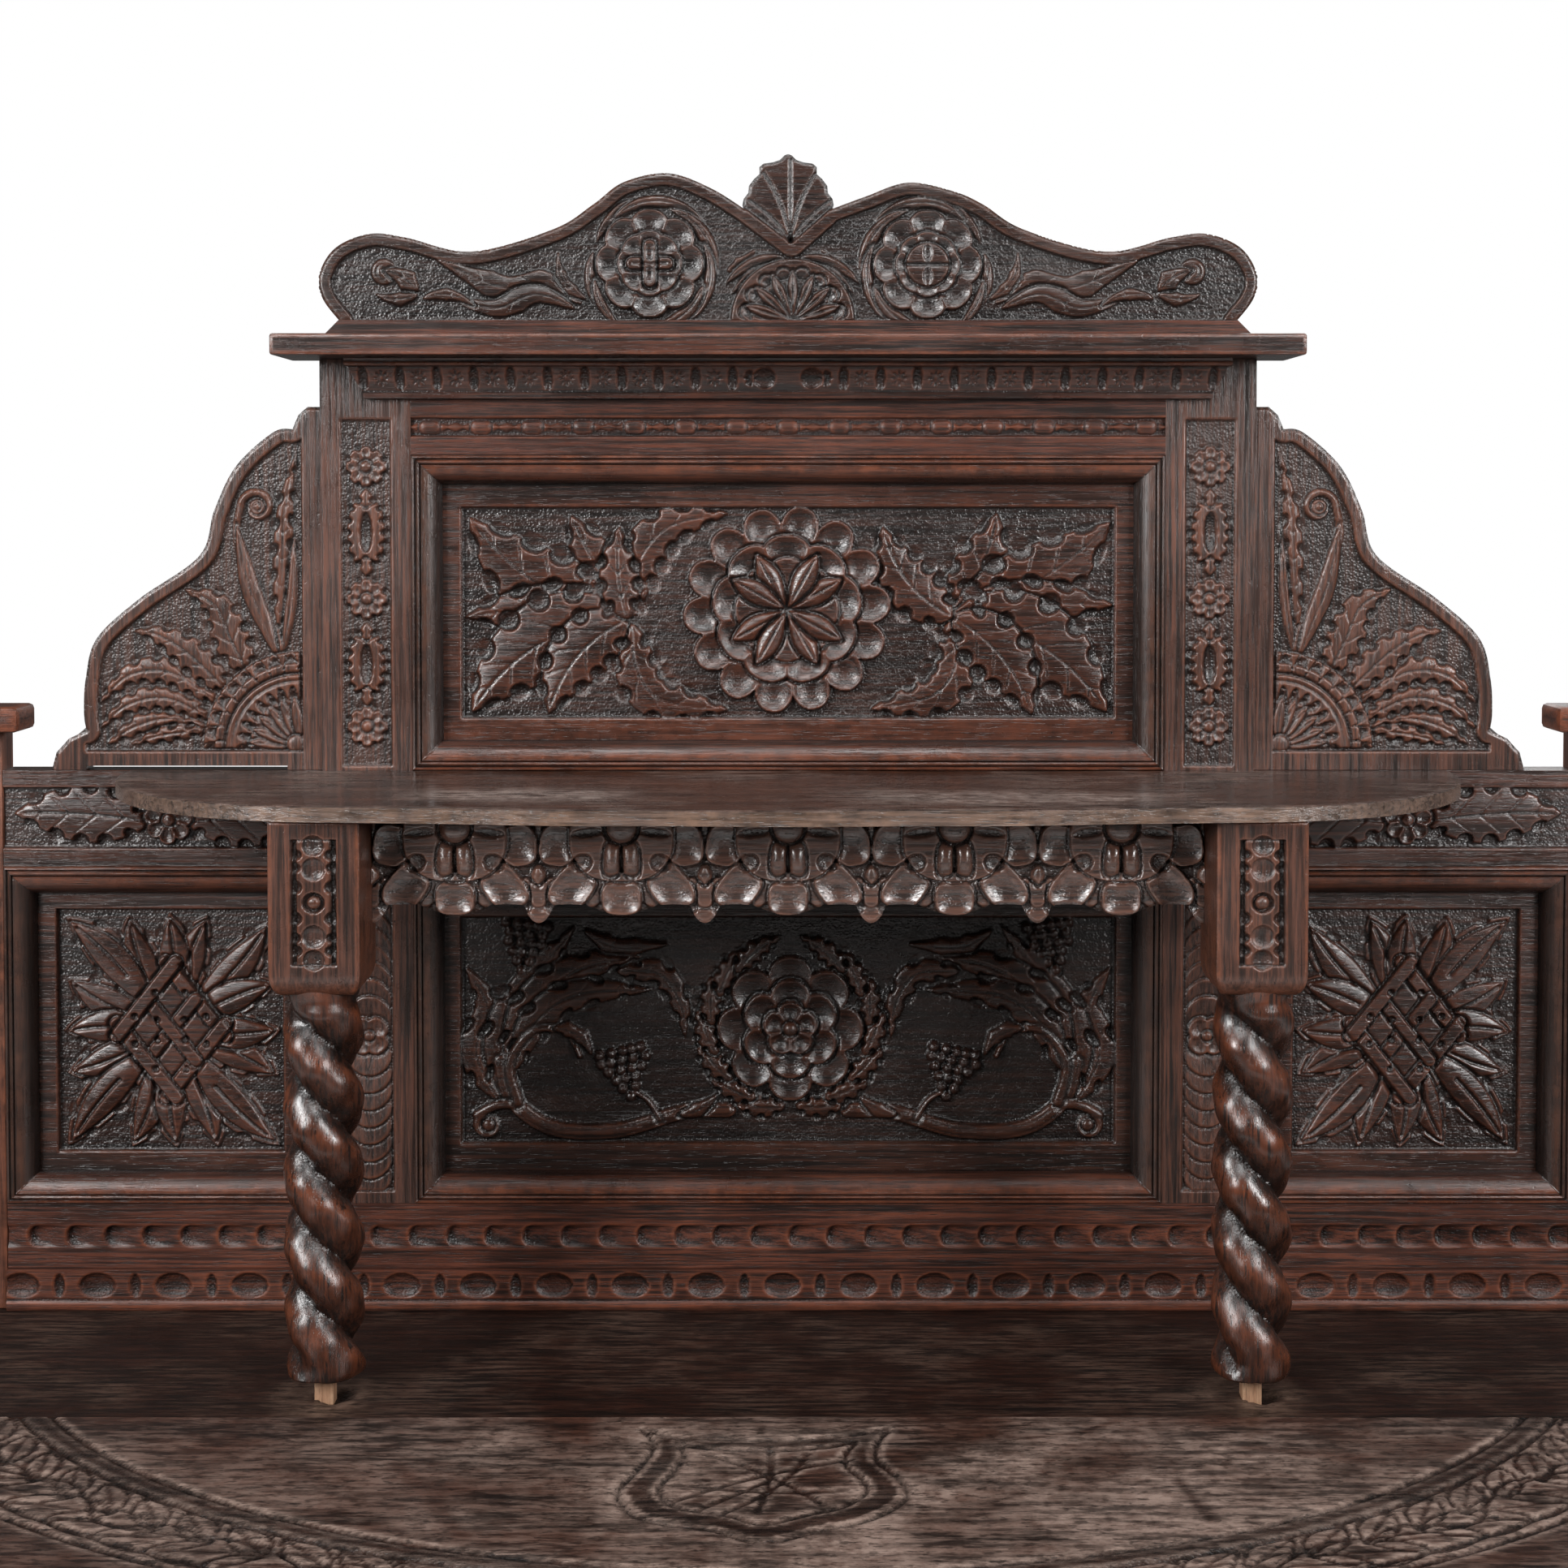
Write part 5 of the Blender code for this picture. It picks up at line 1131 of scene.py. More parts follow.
corniceSettings = {"cell": (1.15, 1.0), "half": 377.0, "face": 263.0, "back": 262.7, "projection": 22.0,
                   "foot": 8.0, "fillet": 6.5, "pitch": 31.5, "notch": 4.2, "stars": 12}


def carveCornice():
    s = corniceSettings
    low, high = corners("cornice_moulding")
    bottom, top = low[2], high[2]
    relief = newRelief(spread(low[0], (high[0], s["cell"][0])), spread(bottom, (top, s["cell"][1])))
    x, z = relief["x"], relief["z"]
    faceLow, faceHigh = bottom + s["fillet"], top - s["fillet"]
    share = np.clip((z - faceLow) / (faceHigh - faceLow), 0.0, 1.0)
    fall = s["projection"] - s["foot"]
    face = s["foot"] + 1.5 + (fall - 4.0) * share**1.4
    out = np.where(z > faceHigh, s["projection"], np.where(z < faceLow, s["foot"] + 1.5, face))
    for line, half, deep in ((top - 2.6, 0.8, 1.6), (faceLow - 0.6, 0.9, 1.2)):
        out = out - deep * np.exp(-(((z - line) / half) ** 2))
    phase = (x / s["pitch"]) % 1.0 - 0.5
    inFace = ramp(z - faceLow - 1.0, 1.5) * ramp(faceHigh - 1.0 - z, 1.5)
    middle = 0.5 * (faceLow + faceHigh)
    centre = np.abs(x) < 30
    tall = 0.52 * (faceHigh - faceLow)
    notch = np.clip(1.0 - (phase * s["pitch"] / s["notch"]) ** 2 - ((z - middle) / tall) ** 2, 0, 1) ** 0.5
    relief["h"] = out - np.where(centre, 0.0, 3.6 * notch * inFace)
    relief["ground"] = np.where(centre, 0.0, 0.6 * notch * inFace)
    for step in range(-s["stars"], s["stars"] + 1):
        cx = s["pitch"] * step
        if abs(cx) < 25:
            continue
        for ray in range(4):
            angle = math.radians(45 * ray)
            for sign in (-1, 1):
                dx, dz = sign * math.cos(angle), sign * math.sin(angle)
                gouge(relief, cx + 4.2 * dx, middle + 4.2 * dz, 3.0, 1.2, 1.7, 45 * ray)
    for sign in (-1, 1):
        # two facing hollows with a flat between them
        gouge(relief, 20 * sign, middle, 9.5, 8.5, 3.6)
        gouge(relief, 33 * sign, middle, 3.0, 7.0, 2.4)
    wide, narrow = s["half"], s["half"] - fall
    sides = [(wide, top), (wide, faceHigh), (wide - 3, faceHigh - 1), (narrow + 4, faceLow + 4)]
    sides += [(narrow + 1, faceLow), (narrow, faceLow - 1), (narrow, bottom)]
    outline = np.array(sides + [(-px, pz) for px, pz in sides[::-1]])
    print("cornice carved")
    return raiseBoard(relief, "carvedCornice", "cornice_moulding", "mouldOak", s["face"], s["back"],
                      outline=outline)


# side panels: interlaced straps in a diamond, with grooved leaves all round

sidePanelSettings = {
    "cell": 0.95, "centre": (538.6, 1141.0), "half": (98.0, 106.0), "depth": 5.4, "diamond": (43.0, 54.0),
    # leaf tips all round and punched holes, from the middle of the panel
    "tips": [(-88, 95), (-32, 100), (1, 102), (37, 100), (91, 99), (90, 44), (94, -1), (91, -38), (91, -102),
             (35, -103), (-4, -104), (-40, -103), (-94, -102), (-93, -40), (-95, 0), (-92, 42)],
    "holes": [(13, 33), (31, 12), (12, 9), (13, -34), (31, -12), (12, -9)],
}


def carveSidePanel(name, side):
    s = sidePanelSettings
    low, high = corners(name + "_panel")
    cx, cz = side * s["centre"][0], s["centre"][1]
    hx, hz = s["half"]
    xs = spread(low[0], (cx - 113, 6.0), (cx - hx - 3, 2.0), (cx + hx + 3, s["cell"]), (cx + 113, 2.0),
                (high[0], 6.0))
    zs = spread(low[2], (1018, 6.0), (cz - hz - 3, 2.0), (cz + hz + 3, s["cell"]), (1262, 2.0),
                (high[2], 6.0))
    relief = newRelief(xs, zs)
    sinkField(relief, cx - hx, cx + hx, cz - hz, cz + hz, s["depth"])
    dx, dz = s["diamond"]
    spears = []
    for place, (tx, tz) in enumerate(s["tips"]):
        # a lower notched border first, then the spear itself
        start, tip = (cx + 0.18 * side * tx, cz + 0.18 * tz), (cx + side * tx, cz + tz)
        path = curve(start, tip, 0.05 * side * (1 - 2 * (place % 2)))
        leaf(relief, path, 18.0, 3.8, 3, 0.10, 0.0, 0.0, 1.05, scoop=0.5)
        spears.append(path[0] + (path - path[0]) * 0.94)
    whole = (slice(None), slice(None))
    star = 1.0 - np.abs(relief["x"] - cx) / 74.0 - np.abs(relief["z"] - cz) / 82.0
    lay(relief, whole, star * 40.0, relief["level"] + 4.6, moat=0.6)
    for path in spears:
        leaf(relief, path, 13.4, 5.9, 0, rib=0.0, blunt=1.0)
    for path in spears:
        cutLine(relief, path[5:-1], 1.7, 2.9)
    fill = 1.0 - np.abs(relief["x"] - cx) / dx - np.abs(relief["z"] - cz) / dz
    lay(relief, whole, fill * 30.0, relief["level"] + 3.0)
    points = [np.array(point) for point in ((cx, cz + dz), (cx + dx, cz), (cx, cz - dz), (cx - dx, cz))]
    for k in range(4):
        start, end = points[k], points[(k + 1) % 4]
        middle = 0.5 * (start + end)
        band(relief, np.array([start - 0.10 * (end - start), end + 0.10 * (end - start)]), 5.6, 6.4)
        if k < 2:
            band(relief, np.array([middle, np.array([2 * cx, 2 * cz]) - middle]), 5.0, 5.6)
    for ox, oz in s["holes"]:
        for lean in (-1, 1):
            gouge(relief, cx + lean * ox, cz + oz, 3.5, 3.5, 4.6)
    for k in (0, 2):
        # the two long cuts beside the straps
        aside = np.array([9.0, 3.0]) * (1 - k)
        cutLine(relief, np.array([points[k] + aside, points[(k + 1) % 4] + aside]), 2.0, 3.2)
    print("side panel carved:", name)
    return raiseBoard(relief, name + "CarvedPanel", name + "_panel", "carvedOak", low[1], high[1])


# centre panel: vine scrolls with grapes on both sides of a rose in a leaf wreath

centrePanelSettings = {
    "cell": 1.32, "field": (-285, 285, 1042, 1240), "depth": 6.0, "rose": (2.0, 1142.0), "roseReach": 72.0,
    # fronds as points from root to tip, width, height, lobes, rib, vein, scoop
    "fronds": [(((252, 1078), (272, 1120), (262, 1160), (281, 1196)), 15, 5.6, 3, 1.6, 0.6, 0.6),
               (((246, 1082), (250, 1130), (226, 1180), (186, 1232)), 17, 6.2, 5, 1.8, 0.8, 0.7),
               (((244, 1110), (225, 1160), (180, 1195), (128, 1205)), 17, 6.4, 5, 1.8, 0.8, 0.7),
               (((240, 1105), (222, 1146), (184, 1172), (120, 1176)), 14, 6.0, 5, 1.8, 0.8, 0.7),
               (((150, 1192), (112, 1190), (94, 1164), (90, 1134)), 11, 5.4, 4, 1.5, 0.6, 0.7)],
    "bunches": (((230, 1213), (5, 4, 4, 3, 2, 1), 8), ((142, 1102), (5, 5, 4, 3, 2, 1), -12)),
}


def carveCentrePanel():
    s = centrePanelSettings
    low, high = corners("centre_panel")
    x0, x1, z0, z1 = s["field"]
    xs = spread(low[0], (-299, 8.0), (x0 - 3, 2.2), (x1 + 3, s["cell"]), (299, 2.2), (high[0], 8.0))
    zs = spread(low[2], (1018, 8.0), (z0 - 3, 2.2), (z1 + 3, s["cell"]), (1262, 2.2), (high[2], 8.0))
    relief = newRelief(xs, zs)
    sinkField(relief, x0, x1, z0, z1, s["depth"])
    for side in (-1, 1):
        def at(*points):
            return [(side * px, pz) for px, pz in points]
        # tall leaf at the outer edge, then the fronds that sweep in from it
        for points, width, lift, lobes, rib, vein, scoop in s["fronds"]:
            leaf(relief, smoothPath(at(*points), 8), width, lift, lobes, 0.2, rib, vein, 0.8, scoop=scoop)
        leaf(relief, smoothPath(at((178, 1228), (150, 1214), (104, 1216)), 8), 9, 5.6, 3, 0.3)
        # stem along the bottom, its volute, and the loop that holds the grapes
        trunk = at((52, 1070), (92, 1068), (150, 1052), (205, 1054), (240, 1078), (250, 1112))
        stem(relief, smoothPath(trunk, 10), 6.5, 6.4, 1.15, 1.0)
        neck = smoothPath(at((238, 1076), (256, 1074), (272, 1066)), 6)
        curl = coil((side * 262, 1057), 11, side * -1.1, 90 - 30 * side, 26, 0.25)
        stem(relief, np.vstack([neck, curl]), 4.6, 6.0, 0.7)
        dome(relief, side * 262, 1057, 5.5, 6.0)
        loop = smoothPath(at((236, 1078), (243, 1112), (222, 1140), (194, 1138), (182, 1118)), 10)
        stem(relief, loop, 5.0, 6.0, 0.5)
        leaf(relief, curve((side * 205, 1142), (side * 172, 1118), -0.2 * side), 8, 6.0, 3, 0.3)
        leaf(relief, curve((side * 95, 1066), (side * 62, 1084), 0.1 * side), 7, 5.6, 2, 0.25)
        stem(relief, smoothPath(at((112, 1062), (122, 1078), (134, 1086)), 6), 2.6, 5.0, 0.8)
        for (bx, bz), rows, turn in s["bunches"]:
            grapes(relief, side * bx, bz, rows, 4.9, 5.2, side * turn)
    cx, cz = s["rose"]
    reach = s["roseReach"]
    for step in range(7):
        # wreath of long toothed leaves, open at the top
        for lean in (-1, 1):
            angle = -90 + lean * (4 + 22 * step)
            ring = arcPath(cx, cz, 0.94 * reach, angle, angle + lean * 38, 12, 13)
            leaf(relief, ring, 9.5, 6.4, 4, 0.2, 1.6, 0.6, 0.8, scoop=0.7)
    petalRing(relief, cx, cz, 0.35 * reach, 0.88 * reach, 8, 7.6, 0.75, 0.20, 0)
    petalRing(relief, cx, cz, 0.20 * reach, 0.60 * reach, 6, 8.8, 0.75, 0.20, 30)
    petalRing(relief, cx, cz, 0.08 * reach, 0.33 * reach, 5, 9.8, 0.65, 0.20, 90)
    dome(relief, cx, cz, 6.5, 10.2)
    print("centre panel carved")
    # the centre panel takes the darker finish, a painted shade
    return raiseBoard(relief, "carvedCentrePanel", "centre_panel", "shadedOak", low[1], high[1])


# side rails: a flower with a leaf on each side

sideRailSettings = {"cell": 1.05, "span": (402.3, 677.7), "field": (1303, 1355), "flower": (535.0, 1329.0),
                    "depth": 3.8}


def carveSideRail(name, side):
    s = sideRailSettings
    low, high = corners("side_rail_" + name)
    low[0], high[0] = sorted((side * s["span"][0], side * s["span"][1]))
    z0, z1 = s["field"]
    zs = spread(low[2], (z0 - 3, 3.0), (z1 + 3, s["cell"]), (high[2], 3.0))
    relief = newRelief(spread(low[0], (high[0], s["cell"])), zs)
    sinkField(relief, low[0] - 5, high[0] + 5, z0, z1, s["depth"])
    fx, fz = side * s["flower"][0], s["flower"][1]
    for way, tip, lift in ((side, 668, 4), (-side, 410, -4)):
        path = curve((fx + way * 14, fz - 4), (side * tip, fz + lift), 0.03 * way)
        leaf(relief, path, 25, 5.4, 5, 0.22, 2.0, 1.2, 0.9, 0.5, scoop=0.75)
    petalRing(relief, fx, fz - 2, 5, 21, 7, 5.8, 0.6, 0.2, 10)
    dome(relief, fx, fz - 2, 5.5, 6.2, ring=0.6)
    cutLine(relief, curve((low[0], z0 - 12), (high[0], z0 - 12)), 0.7, 0.8)
    print("side rail carved:", name)
    return raiseBoard(relief, name + "CarvedRail", "side_rail_" + name, "carvedOak", low[1], high[1])


# bottom rail and plinth: slanting nulls above, thumb scoops below

nullSettings = {"cell": 1.45, "half": 677.7, "strip": (955.0, 973.5), "pitch": 33.0, "depth": 4.2}
plinthSettings = {"cell": 1.5, "pitch": 66.0, "scoops": (911.0, 934.0), "shift": -5, "proud": 0.8}


def carveBottomRail():
    s = nullSettings
    low, high = corners("bottom_rail")
    low[0], high[0] = -s["half"], s["half"]
    z0, z1 = s["strip"]
    zs = spread(low[2], (z0 - 2, 3.2), (z1 + 2, 1.05), (high[2], 3.2))
    relief = newRelief(spread(low[0], (high[0], s["cell"])), zs)
    x, z = relief["x"], relief["z"]
    across = (z - 0.5 * (z0 + z1)) / (0.5 * (z1 - z0))
    phase = (x / s["pitch"]) % 1.0
    run = phase - 0.20 * (1.0 - np.sqrt(np.clip(1.0 - across**2, 0, 1)))
    fall = np.where(run > 0, np.clip(run / 0.07, 0, 1) * np.clip(1.0 - run / 0.92, 0, 1) ** 1.2, 0.0)
    hollow = np.sqrt(np.clip(1.0 - across**2, 0, 1)) * fall
    relief["h"] = -1.3 * s["depth"] * hollow
    relief["ground"] = 0.35 * np.clip(hollow * 1.4, 0, 1)
    for line in (z0 - 4.5, z1 + 4.0):
        cutLine(relief, curve((low[0], line), (high[0], line)), 0.7, 0.9)
    print("bottom rail carved")
    return raiseBoard(relief, "carvedBottomRail", "bottom_rail", "railOak", low[1], high[1])


def carvePlinth():
    s = plinthSettings
    low, high = corners("plinth_moulding")
    z0, z1 = s["scoops"]
    relief = newRelief(spread(low[0], (high[0], s["cell"])), spread(low[2], (z0 - 1, 1.4), (high[2], 1.1)))
    z = relief["z"]
    middle = 0.5 * (z0 + z1)
    count = int(high[0] / s["pitch"]) + 1
    for step in range(-count, count + 1):
        cx = step * s["pitch"] + s["shift"]
        gouge(relief, cx, middle, 16.0, 11.0, 4.6)
        gouge(relief, cx + 0.5 * s["pitch"], middle, 4.6, 10.5, 3.6)
    relief["ground"] = np.clip(-relief["h"] / 3.0, 0, 0.55)
    bead = low[2] + 4.5
    relief["h"] += 1.2 * np.sqrt(np.clip(1.0 - ((z - bead) / 4.2) ** 2, 0, 1))
    cutLine(relief, curve((low[0], bead + 5.0), (high[0], bead + 5.0)), 0.8, 1.6)
    print("plinth carved")
    return raiseBoard(relief, "carvedPlinth", "plinth_moulding", "railOak", low[1] + s["proud"], high[1])


# shelf: thin board with round ends and a slightly waved front

shelfSettings = {"cell": 2.8, "straight": 345.0, "endReach": (225.0, 238.0), "front": 262.0, "fall": 24.0,
                 "wave": 3.0, "back": 262.7}


def shapeShelf():
    s = shelfSettings
    low, high = corners("shelf")
    wide, deep = s["endReach"]
    side = []
    for a in np.linspace(0, np.pi / 2, 25):
        side.append((s["straight"] + wide * math.cos(a), s["back"] - deep * math.sin(a)))
    for share in np.linspace(1.0, 0.0, 41)[1:]:
        reach = s["front"] - s["fall"] * share**2 + s["wave"] * (math.cos(4 * math.pi * share) - 1) / 2
        side.append((s["straight"] * share, s["back"] - reach))
    outline = np.array([(-x, y) for x, y in side[:-1]] + side[::-1])
    relief = newRelief(spread(low[0] - 2, (high[0] + 2, s["cell"])), spread(low[1] - 2, (high[1], s["cell"])))
    x, y = relief["x"], relief["z"]
    away = nearestOnPath(x, y, outline)[0]
    relief["h"] -= 1.4 * (1.0 - ramp(away - 1.0, 4.0)) - 0.25 * np.sin(x * 0.021 + 1.3 * np.sin(y * 0.03))
    # a pale line along the arris: rubbed wear, and a painted highlight where the edge catches the light
    edge = np.exp(-((away / 1.8) ** 2)) * (0.75 + 0.25 * np.sin(x * 0.045 + 1.0) * np.sin(x * 0.013))
    patchy = 0.5 + 0.5 * np.sin(x * 0.017 + 2.0) * np.sin(y * 0.031 + x * 0.008)
    # painted glare: two pale patches on the top where the lamps would reflect, laid in as wear
    glare = np.exp(-(((x + 212) / 80) ** 4) - ((y - 98) / 34) ** 2)
    glare += np.exp(-(((x - 178) / 105) ** 4) - ((y - 82) / 30) ** 2)
    print("shelf shaped")
    piece = raiseBoard(relief, "roundEndShelf", "shelf", "shelfOak", high[2], low[2], "top", outline=outline,
                       hollows=0.0, extraWearAndHighlight=0.5 * edge + 0.03 * patchy + 1.6 * glare)
    # the polished edge: its upright faces take a lighter, greyer finish, a painted sheen
    piece.data.materials.append(finishes["edgeOak"])
    upright = [abs(face.normal.z) < 0.6 for face in piece.data.polygons]
    piece.data.polygons.foreach_set("material_index", np.array(upright, np.int32))
    return piece


# shelf apron: five half flowers with a leaf drop between each two

apronSettings = {"cell": 1.0, "half": 327.7, "bays": 5, "depth": 7.0, "flowerDrop": 82.0, "leafDrop": 88.0,
                 "least": 73.0}


def carveApron():
    s = apronSettings
    low, high = corners("shelf_apron")
    top, half, bays = high[2], s["half"], s["bays"]
    bay = 2 * half / bays
    edge = []
    for x in np.linspace(-half, half, 301):
        across = abs((x + half) / bay % 1.0 - 0.5)
        flower = s["flowerDrop"] * math.sqrt(max(0.0, 1.0 - (across / 0.48) ** 2))
        drop = s["leafDrop"] * math.sqrt(max(0.0, 1.0 - ((0.5 - across) / 0.17) ** 2))
        edge.append((x, top - max(flower, drop, s["least"])))
    outline = np.array(edge + [(half, top), (-half, top)])
    relief = newRelief(spread(-half, (half, s["cell"])), spread(low[2] - 1, (top, s["cell"])))
    x, z = relief["x"], relief["z"]
    away = nearestOnPath(x, z, np.array(edge))[0]
    sinkGround(relief, np.full(x.shape, 9.0), s["depth"])
    for step in range(bays + 1):
        # three-lobed drop: two arms, two eyed lobes, a flat heart and a bud
        cx = -half + bay * step
        leaf(relief, curve((cx, top - 4), (cx, top - 46)), 8.0, 5.0, 0, rib=1.2, blunt=1.2)
        bowl(relief, cx, top - 76, 16.0, 13.0, 5.4, 0.6, 0.0, 1.6)
        for lean in (-1, 1):
            bowl(relief, cx + 12 * lean, top - 63, 8.0, 11.0, 7.6, 3.4, 24.0 * lean)
            gouge(relief, cx + 10 * lean, top - 76, 5.4, 4.8, 4.2, -20.0 * lean)
        bowl(relief, cx, top - 64, 6.6, 11.5, 5.6, 0.3, 0.0, 2.6)
        leaf(relief, curve((cx, top - 39), (cx, top - 57)), 6.0, 9.6, 0, rib=0.0, blunt=1.4)
    for step in range(bays):
        cx = -half + bay * (step + 0.5)
        for angle in (-160, -116, -64, -20):
            # pointed tips between the petals
            ray = np.array([math.cos(math.radians(angle)), math.sin(math.radians(angle))])
            heart = np.array([cx, top - 16])
            leaf(relief, curve(heart + 34 * ray, heart + 70 * ray), 12.0, 4.8, 0, rib=0.0)
        for lean in (-1, 1):
            bowl(relief, cx + 50 * lean, top - 26, 14.5, 16.5, 9.0, 5.4, 8.0 * lean, 3.0)
            bowl(relief, cx + 39 * lean, top - 60, 20.0, 15.0, 9.4, 5.6, -52.0 * lean, 2.8)
        bowl(relief, cx, top - 68, 15.5, 13.5, 9.6, 5.2, 0.0, 3.2)
        # flat inner plate with an eye on each side, the two-lobed bud and the button
        bowl(relief, cx, top - 19, 41.0, 36.0, 10.0, 0.8, 0.0, 2.4)
        for lean in (-1, 1):
            gouge(relief, cx + 31 * lean, top - 40, 9.0, 7.6, 6.0, -30.0 * lean)
            gouge(relief, cx + 27 * lean, top - 16, 13.0, 4.0, 3.0, -6.0 * lean)
            bowl(relief, cx + 7.2 * lean, top - 37, 7.0, 13.5, 9.0, -4.2, 4.0 * lean, 2.6)
        cutLine(relief, curve((cx, top - 27), (cx, top - 47)), 1.3, 4.4)
        gouge(relief, cx, top - 53, 10.0, 4.6, 4.4)
        dome(relief, cx, top - 12, 13.0, 13.0, flat=0.6)
    relief["h"] -= 1.6 * (1.0 - ramp(away - 1.2, 3.0))
    print("apron carved")
    # the apron takes the lighter finish, a painted light
    return raiseBoard(relief, "carvedApron", "shelf_apron", "apronOak", low[1], high[1], outline=outline)


# turned and twisted work

def lathe(name, rings, finish, cx, cy, shape=None, segments=64, axis="up"):
    # a sphere takes the turned profile: its rings become the profile's rings, its poles close the ends
    deselectAll()
    bpy.ops.mesh.primitive_uv_sphere_add(segments=segments, ring_count=len(rings) + 1, radius=1.0)
    piece = bpy.context.object
    piece.name = piece.data.name = name
    co = np.array([v.co for v in piece.data.vertices])
    place = np.round(np.arccos(np.clip(co[:, 2], -1, 1)) / np.pi * (len(rings) + 1)).astype(int)
    angle = np.arctan2(co[:, 1], co[:, 0])
    heights = np.array([rings[0][0]] + [ring[0] for ring in rings] + [rings[-1][0]])
    radii = np.array([0.0] + [ring[1] for ring in rings] + [0.0])
    height, radius = heights[place], radii[place]
    wear, recess = np.zeros(len(co)), np.zeros(len(co))
    if shape:
        radius, wear, recess = shape(angle, height, radius)
    else:
        wear = np.clip((radius / radii.max() - 0.9) * 6.0, 0.0, 0.8)
        # narrow necks are darkened: dirt and painted shade
        recess = np.clip((0.78 - radius / radii.max()) * 2.5, 0.0, 0.7)
    if axis == "up":
        co = np.stack([cx + radius * np.cos(angle), cy + radius * np.sin(angle), height], axis=1)
    else:
        co = np.stack([cx + radius * np.cos(angle), -height, cy + radius * np.sin(angle)], axis=1)
    piece.data.vertices.foreach_set("co", (co * mm).ravel())
    setAttribute(piece.data, "wear", wear)
    setAttribute(piece.data, "recess", recess)
    bpy.ops.object.mode_set(mode="EDIT")
    bpy.ops.mesh.select_all(action="SELECT")
    bpy.ops.mesh.normals_make_consistent(inside=False)
    bpy.ops.object.mode_set(mode="OBJECT")
    bpy.ops.object.shade_smooth_by_angle(angle=math.radians(50))
    piece.data.materials.append(finishes[finish])
    return piece


def barley(bottom, top, pitch, depth):
    # two round strands wound together, with a hollow between them that runs out at both ends
    def shape(angle, height, radius):
        turn = 2 * np.pi * (height - bottom) / pitch
        swell = np.abs(np.cos(angle + turn)) ** 0.8
        below = np.clip(np.sin(2.0 * (angle + turn)), 0.0, 1.0)
        wear = np.clip((swell - 0.55) * 2.2, 0.0, 1.0) * (0.30 + 0.70 * below)
        # the hollow between the strands is darkened: dirt and painted shade
        recess = np.clip((0.50 - swell) * 2.2, 0.0, 1.0)
        reach = np.clip((radius - 8.0) / 10.0, 0.0, 1.0)
        dents = np.sin(3 * angle + 0.11 * height) * np.sin(0.083 * height + 2 * angle)
        dents = dents + np.sin(5 * angle - 0.17 * height)
        fade = np.clip(np.minimum(height - bottom, top - height) / 26.0 + 0.15, 0.0, 1.0)
        cut = reach * (depth * fade * (1.0 - swell) - 0.55 * dents)
        return radius - cut, wear * reach, recess * reach * fade
    return shape


def mergeParts(parts, name, node, body="table"):
    deselectAll()
    piece = parts[0]
    for part in parts:
        part.select_set(True)
    bpy.context.view_layer.objects.active = piece
    if len(parts) > 1:
        bpy.ops.object.join()
    piece.name = piece.data.name = name
    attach(piece, body)
    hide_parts(node)
    return piece


columnSettings = {"cell": 0.9, "across": 363.0, "depth": 68.0, "bottom": 920.0, "blockFoot": 1221.7,
                  "blockTop": 1357.7, "block": 35.0, "radius": 31.0, "hollow": 13.0, "pitch": 108.0,
                  "twistTop": 1219.0, "panel": (17.0, 1247.0, 1343.0)}


def shapeColumn(name, side):
    s = columnSettings
    cx, cy = side * s["across"], s["depth"]
    half = s["block"]
    relief = newRelief(spread(-half, (half, s["cell"])), spread(s["blockFoot"], (s["blockTop"], s["cell"])))
    x, z = relief["x"], relief["z"]
    wide, low, high = s["panel"]
    middle = 0.5 * (low + high)
    sinkField(relief, -wide, wide, low, high, 5.0, 0.3)
    # a raised strap bitten from both sides, scooped above and below a button
    band(relief, curve((0, middle - 46), (0, middle + 46)), 13.0, 5.2)
    for up in (-1, 1):
        for lean in (-1, 1):
            for away, across, tall in ((12, 6.0, 5.5), (27, 5.0, 4.0), (37, 6.0, 4.5)):
                floorGouge(relief, 14.5 * lean, middle + up * away, across, tall, 6.0)
        gouge(relief, 0, middle + up * 44, 8.5, 8.0, 4.2)
        gouge(relief, 0, middle + up * 26, 9.5, 9.0, 3.0)
    floorGouge(relief, 0, middle, 9.0, 8.0, 5.0)
    dome(relief, 0, middle, 5.5, 6.4, flat=0.7)
    edge = np.minimum(np.minimum(x + half, half - x), s["blockTop"] - z)
    relief["h"] -= 1.6 * (1.0 - ramp(edge - 0.6, 3.4))
    foot = np.clip((19.0 - (z - s["blockFoot"])) / 19.0, 0.0, 1.0)
    tongue = 1.0 - np.sqrt(np.clip(1.0 - foot**2, 0.0, 1.0))
    relief["h"] -= 13.0 * tongue
    relief["x"], relief["xs"] = cx + x * (1.0 - 0.26 * tongue), relief["xs"] + cx
    # rubbed edges, and a painted highlight along the lit foot (0.5 * foot)
    block = raiseBoard(relief, name + "Block", None, "carvedStileOak", cy - half, cy + half,
                       extraWearAndHighlight=1.1 * np.exp(-((edge / 2.6) ** 2)) + 0.5 * foot)
    bottom, radius = s["bottom"], s["radius"]
    rings = [(bottom, radius - 2.5), (bottom + 1.5, radius - 1.0), (bottom + 6.0, radius)]
    rings += [(height, radius) for height in np.arange(bottom + 12.0, 1206.0, 1.9)]
    rings += [(1210.0, 30.0), (1214.0, 28.5), (1218.0, 28.5), (1224.0, 29.5), (1230.0, 29.5)]
    strands = barley(bottom, s["twistTop"], s["pitch"], s["hollow"])
    twist = lathe(name + "Twist", rings, "twistOak", cx, cy, strands, 72)
    print("column shaped:", name)
    return mergeParts([twist, block], name + "TwistColumn", "column_" + name)


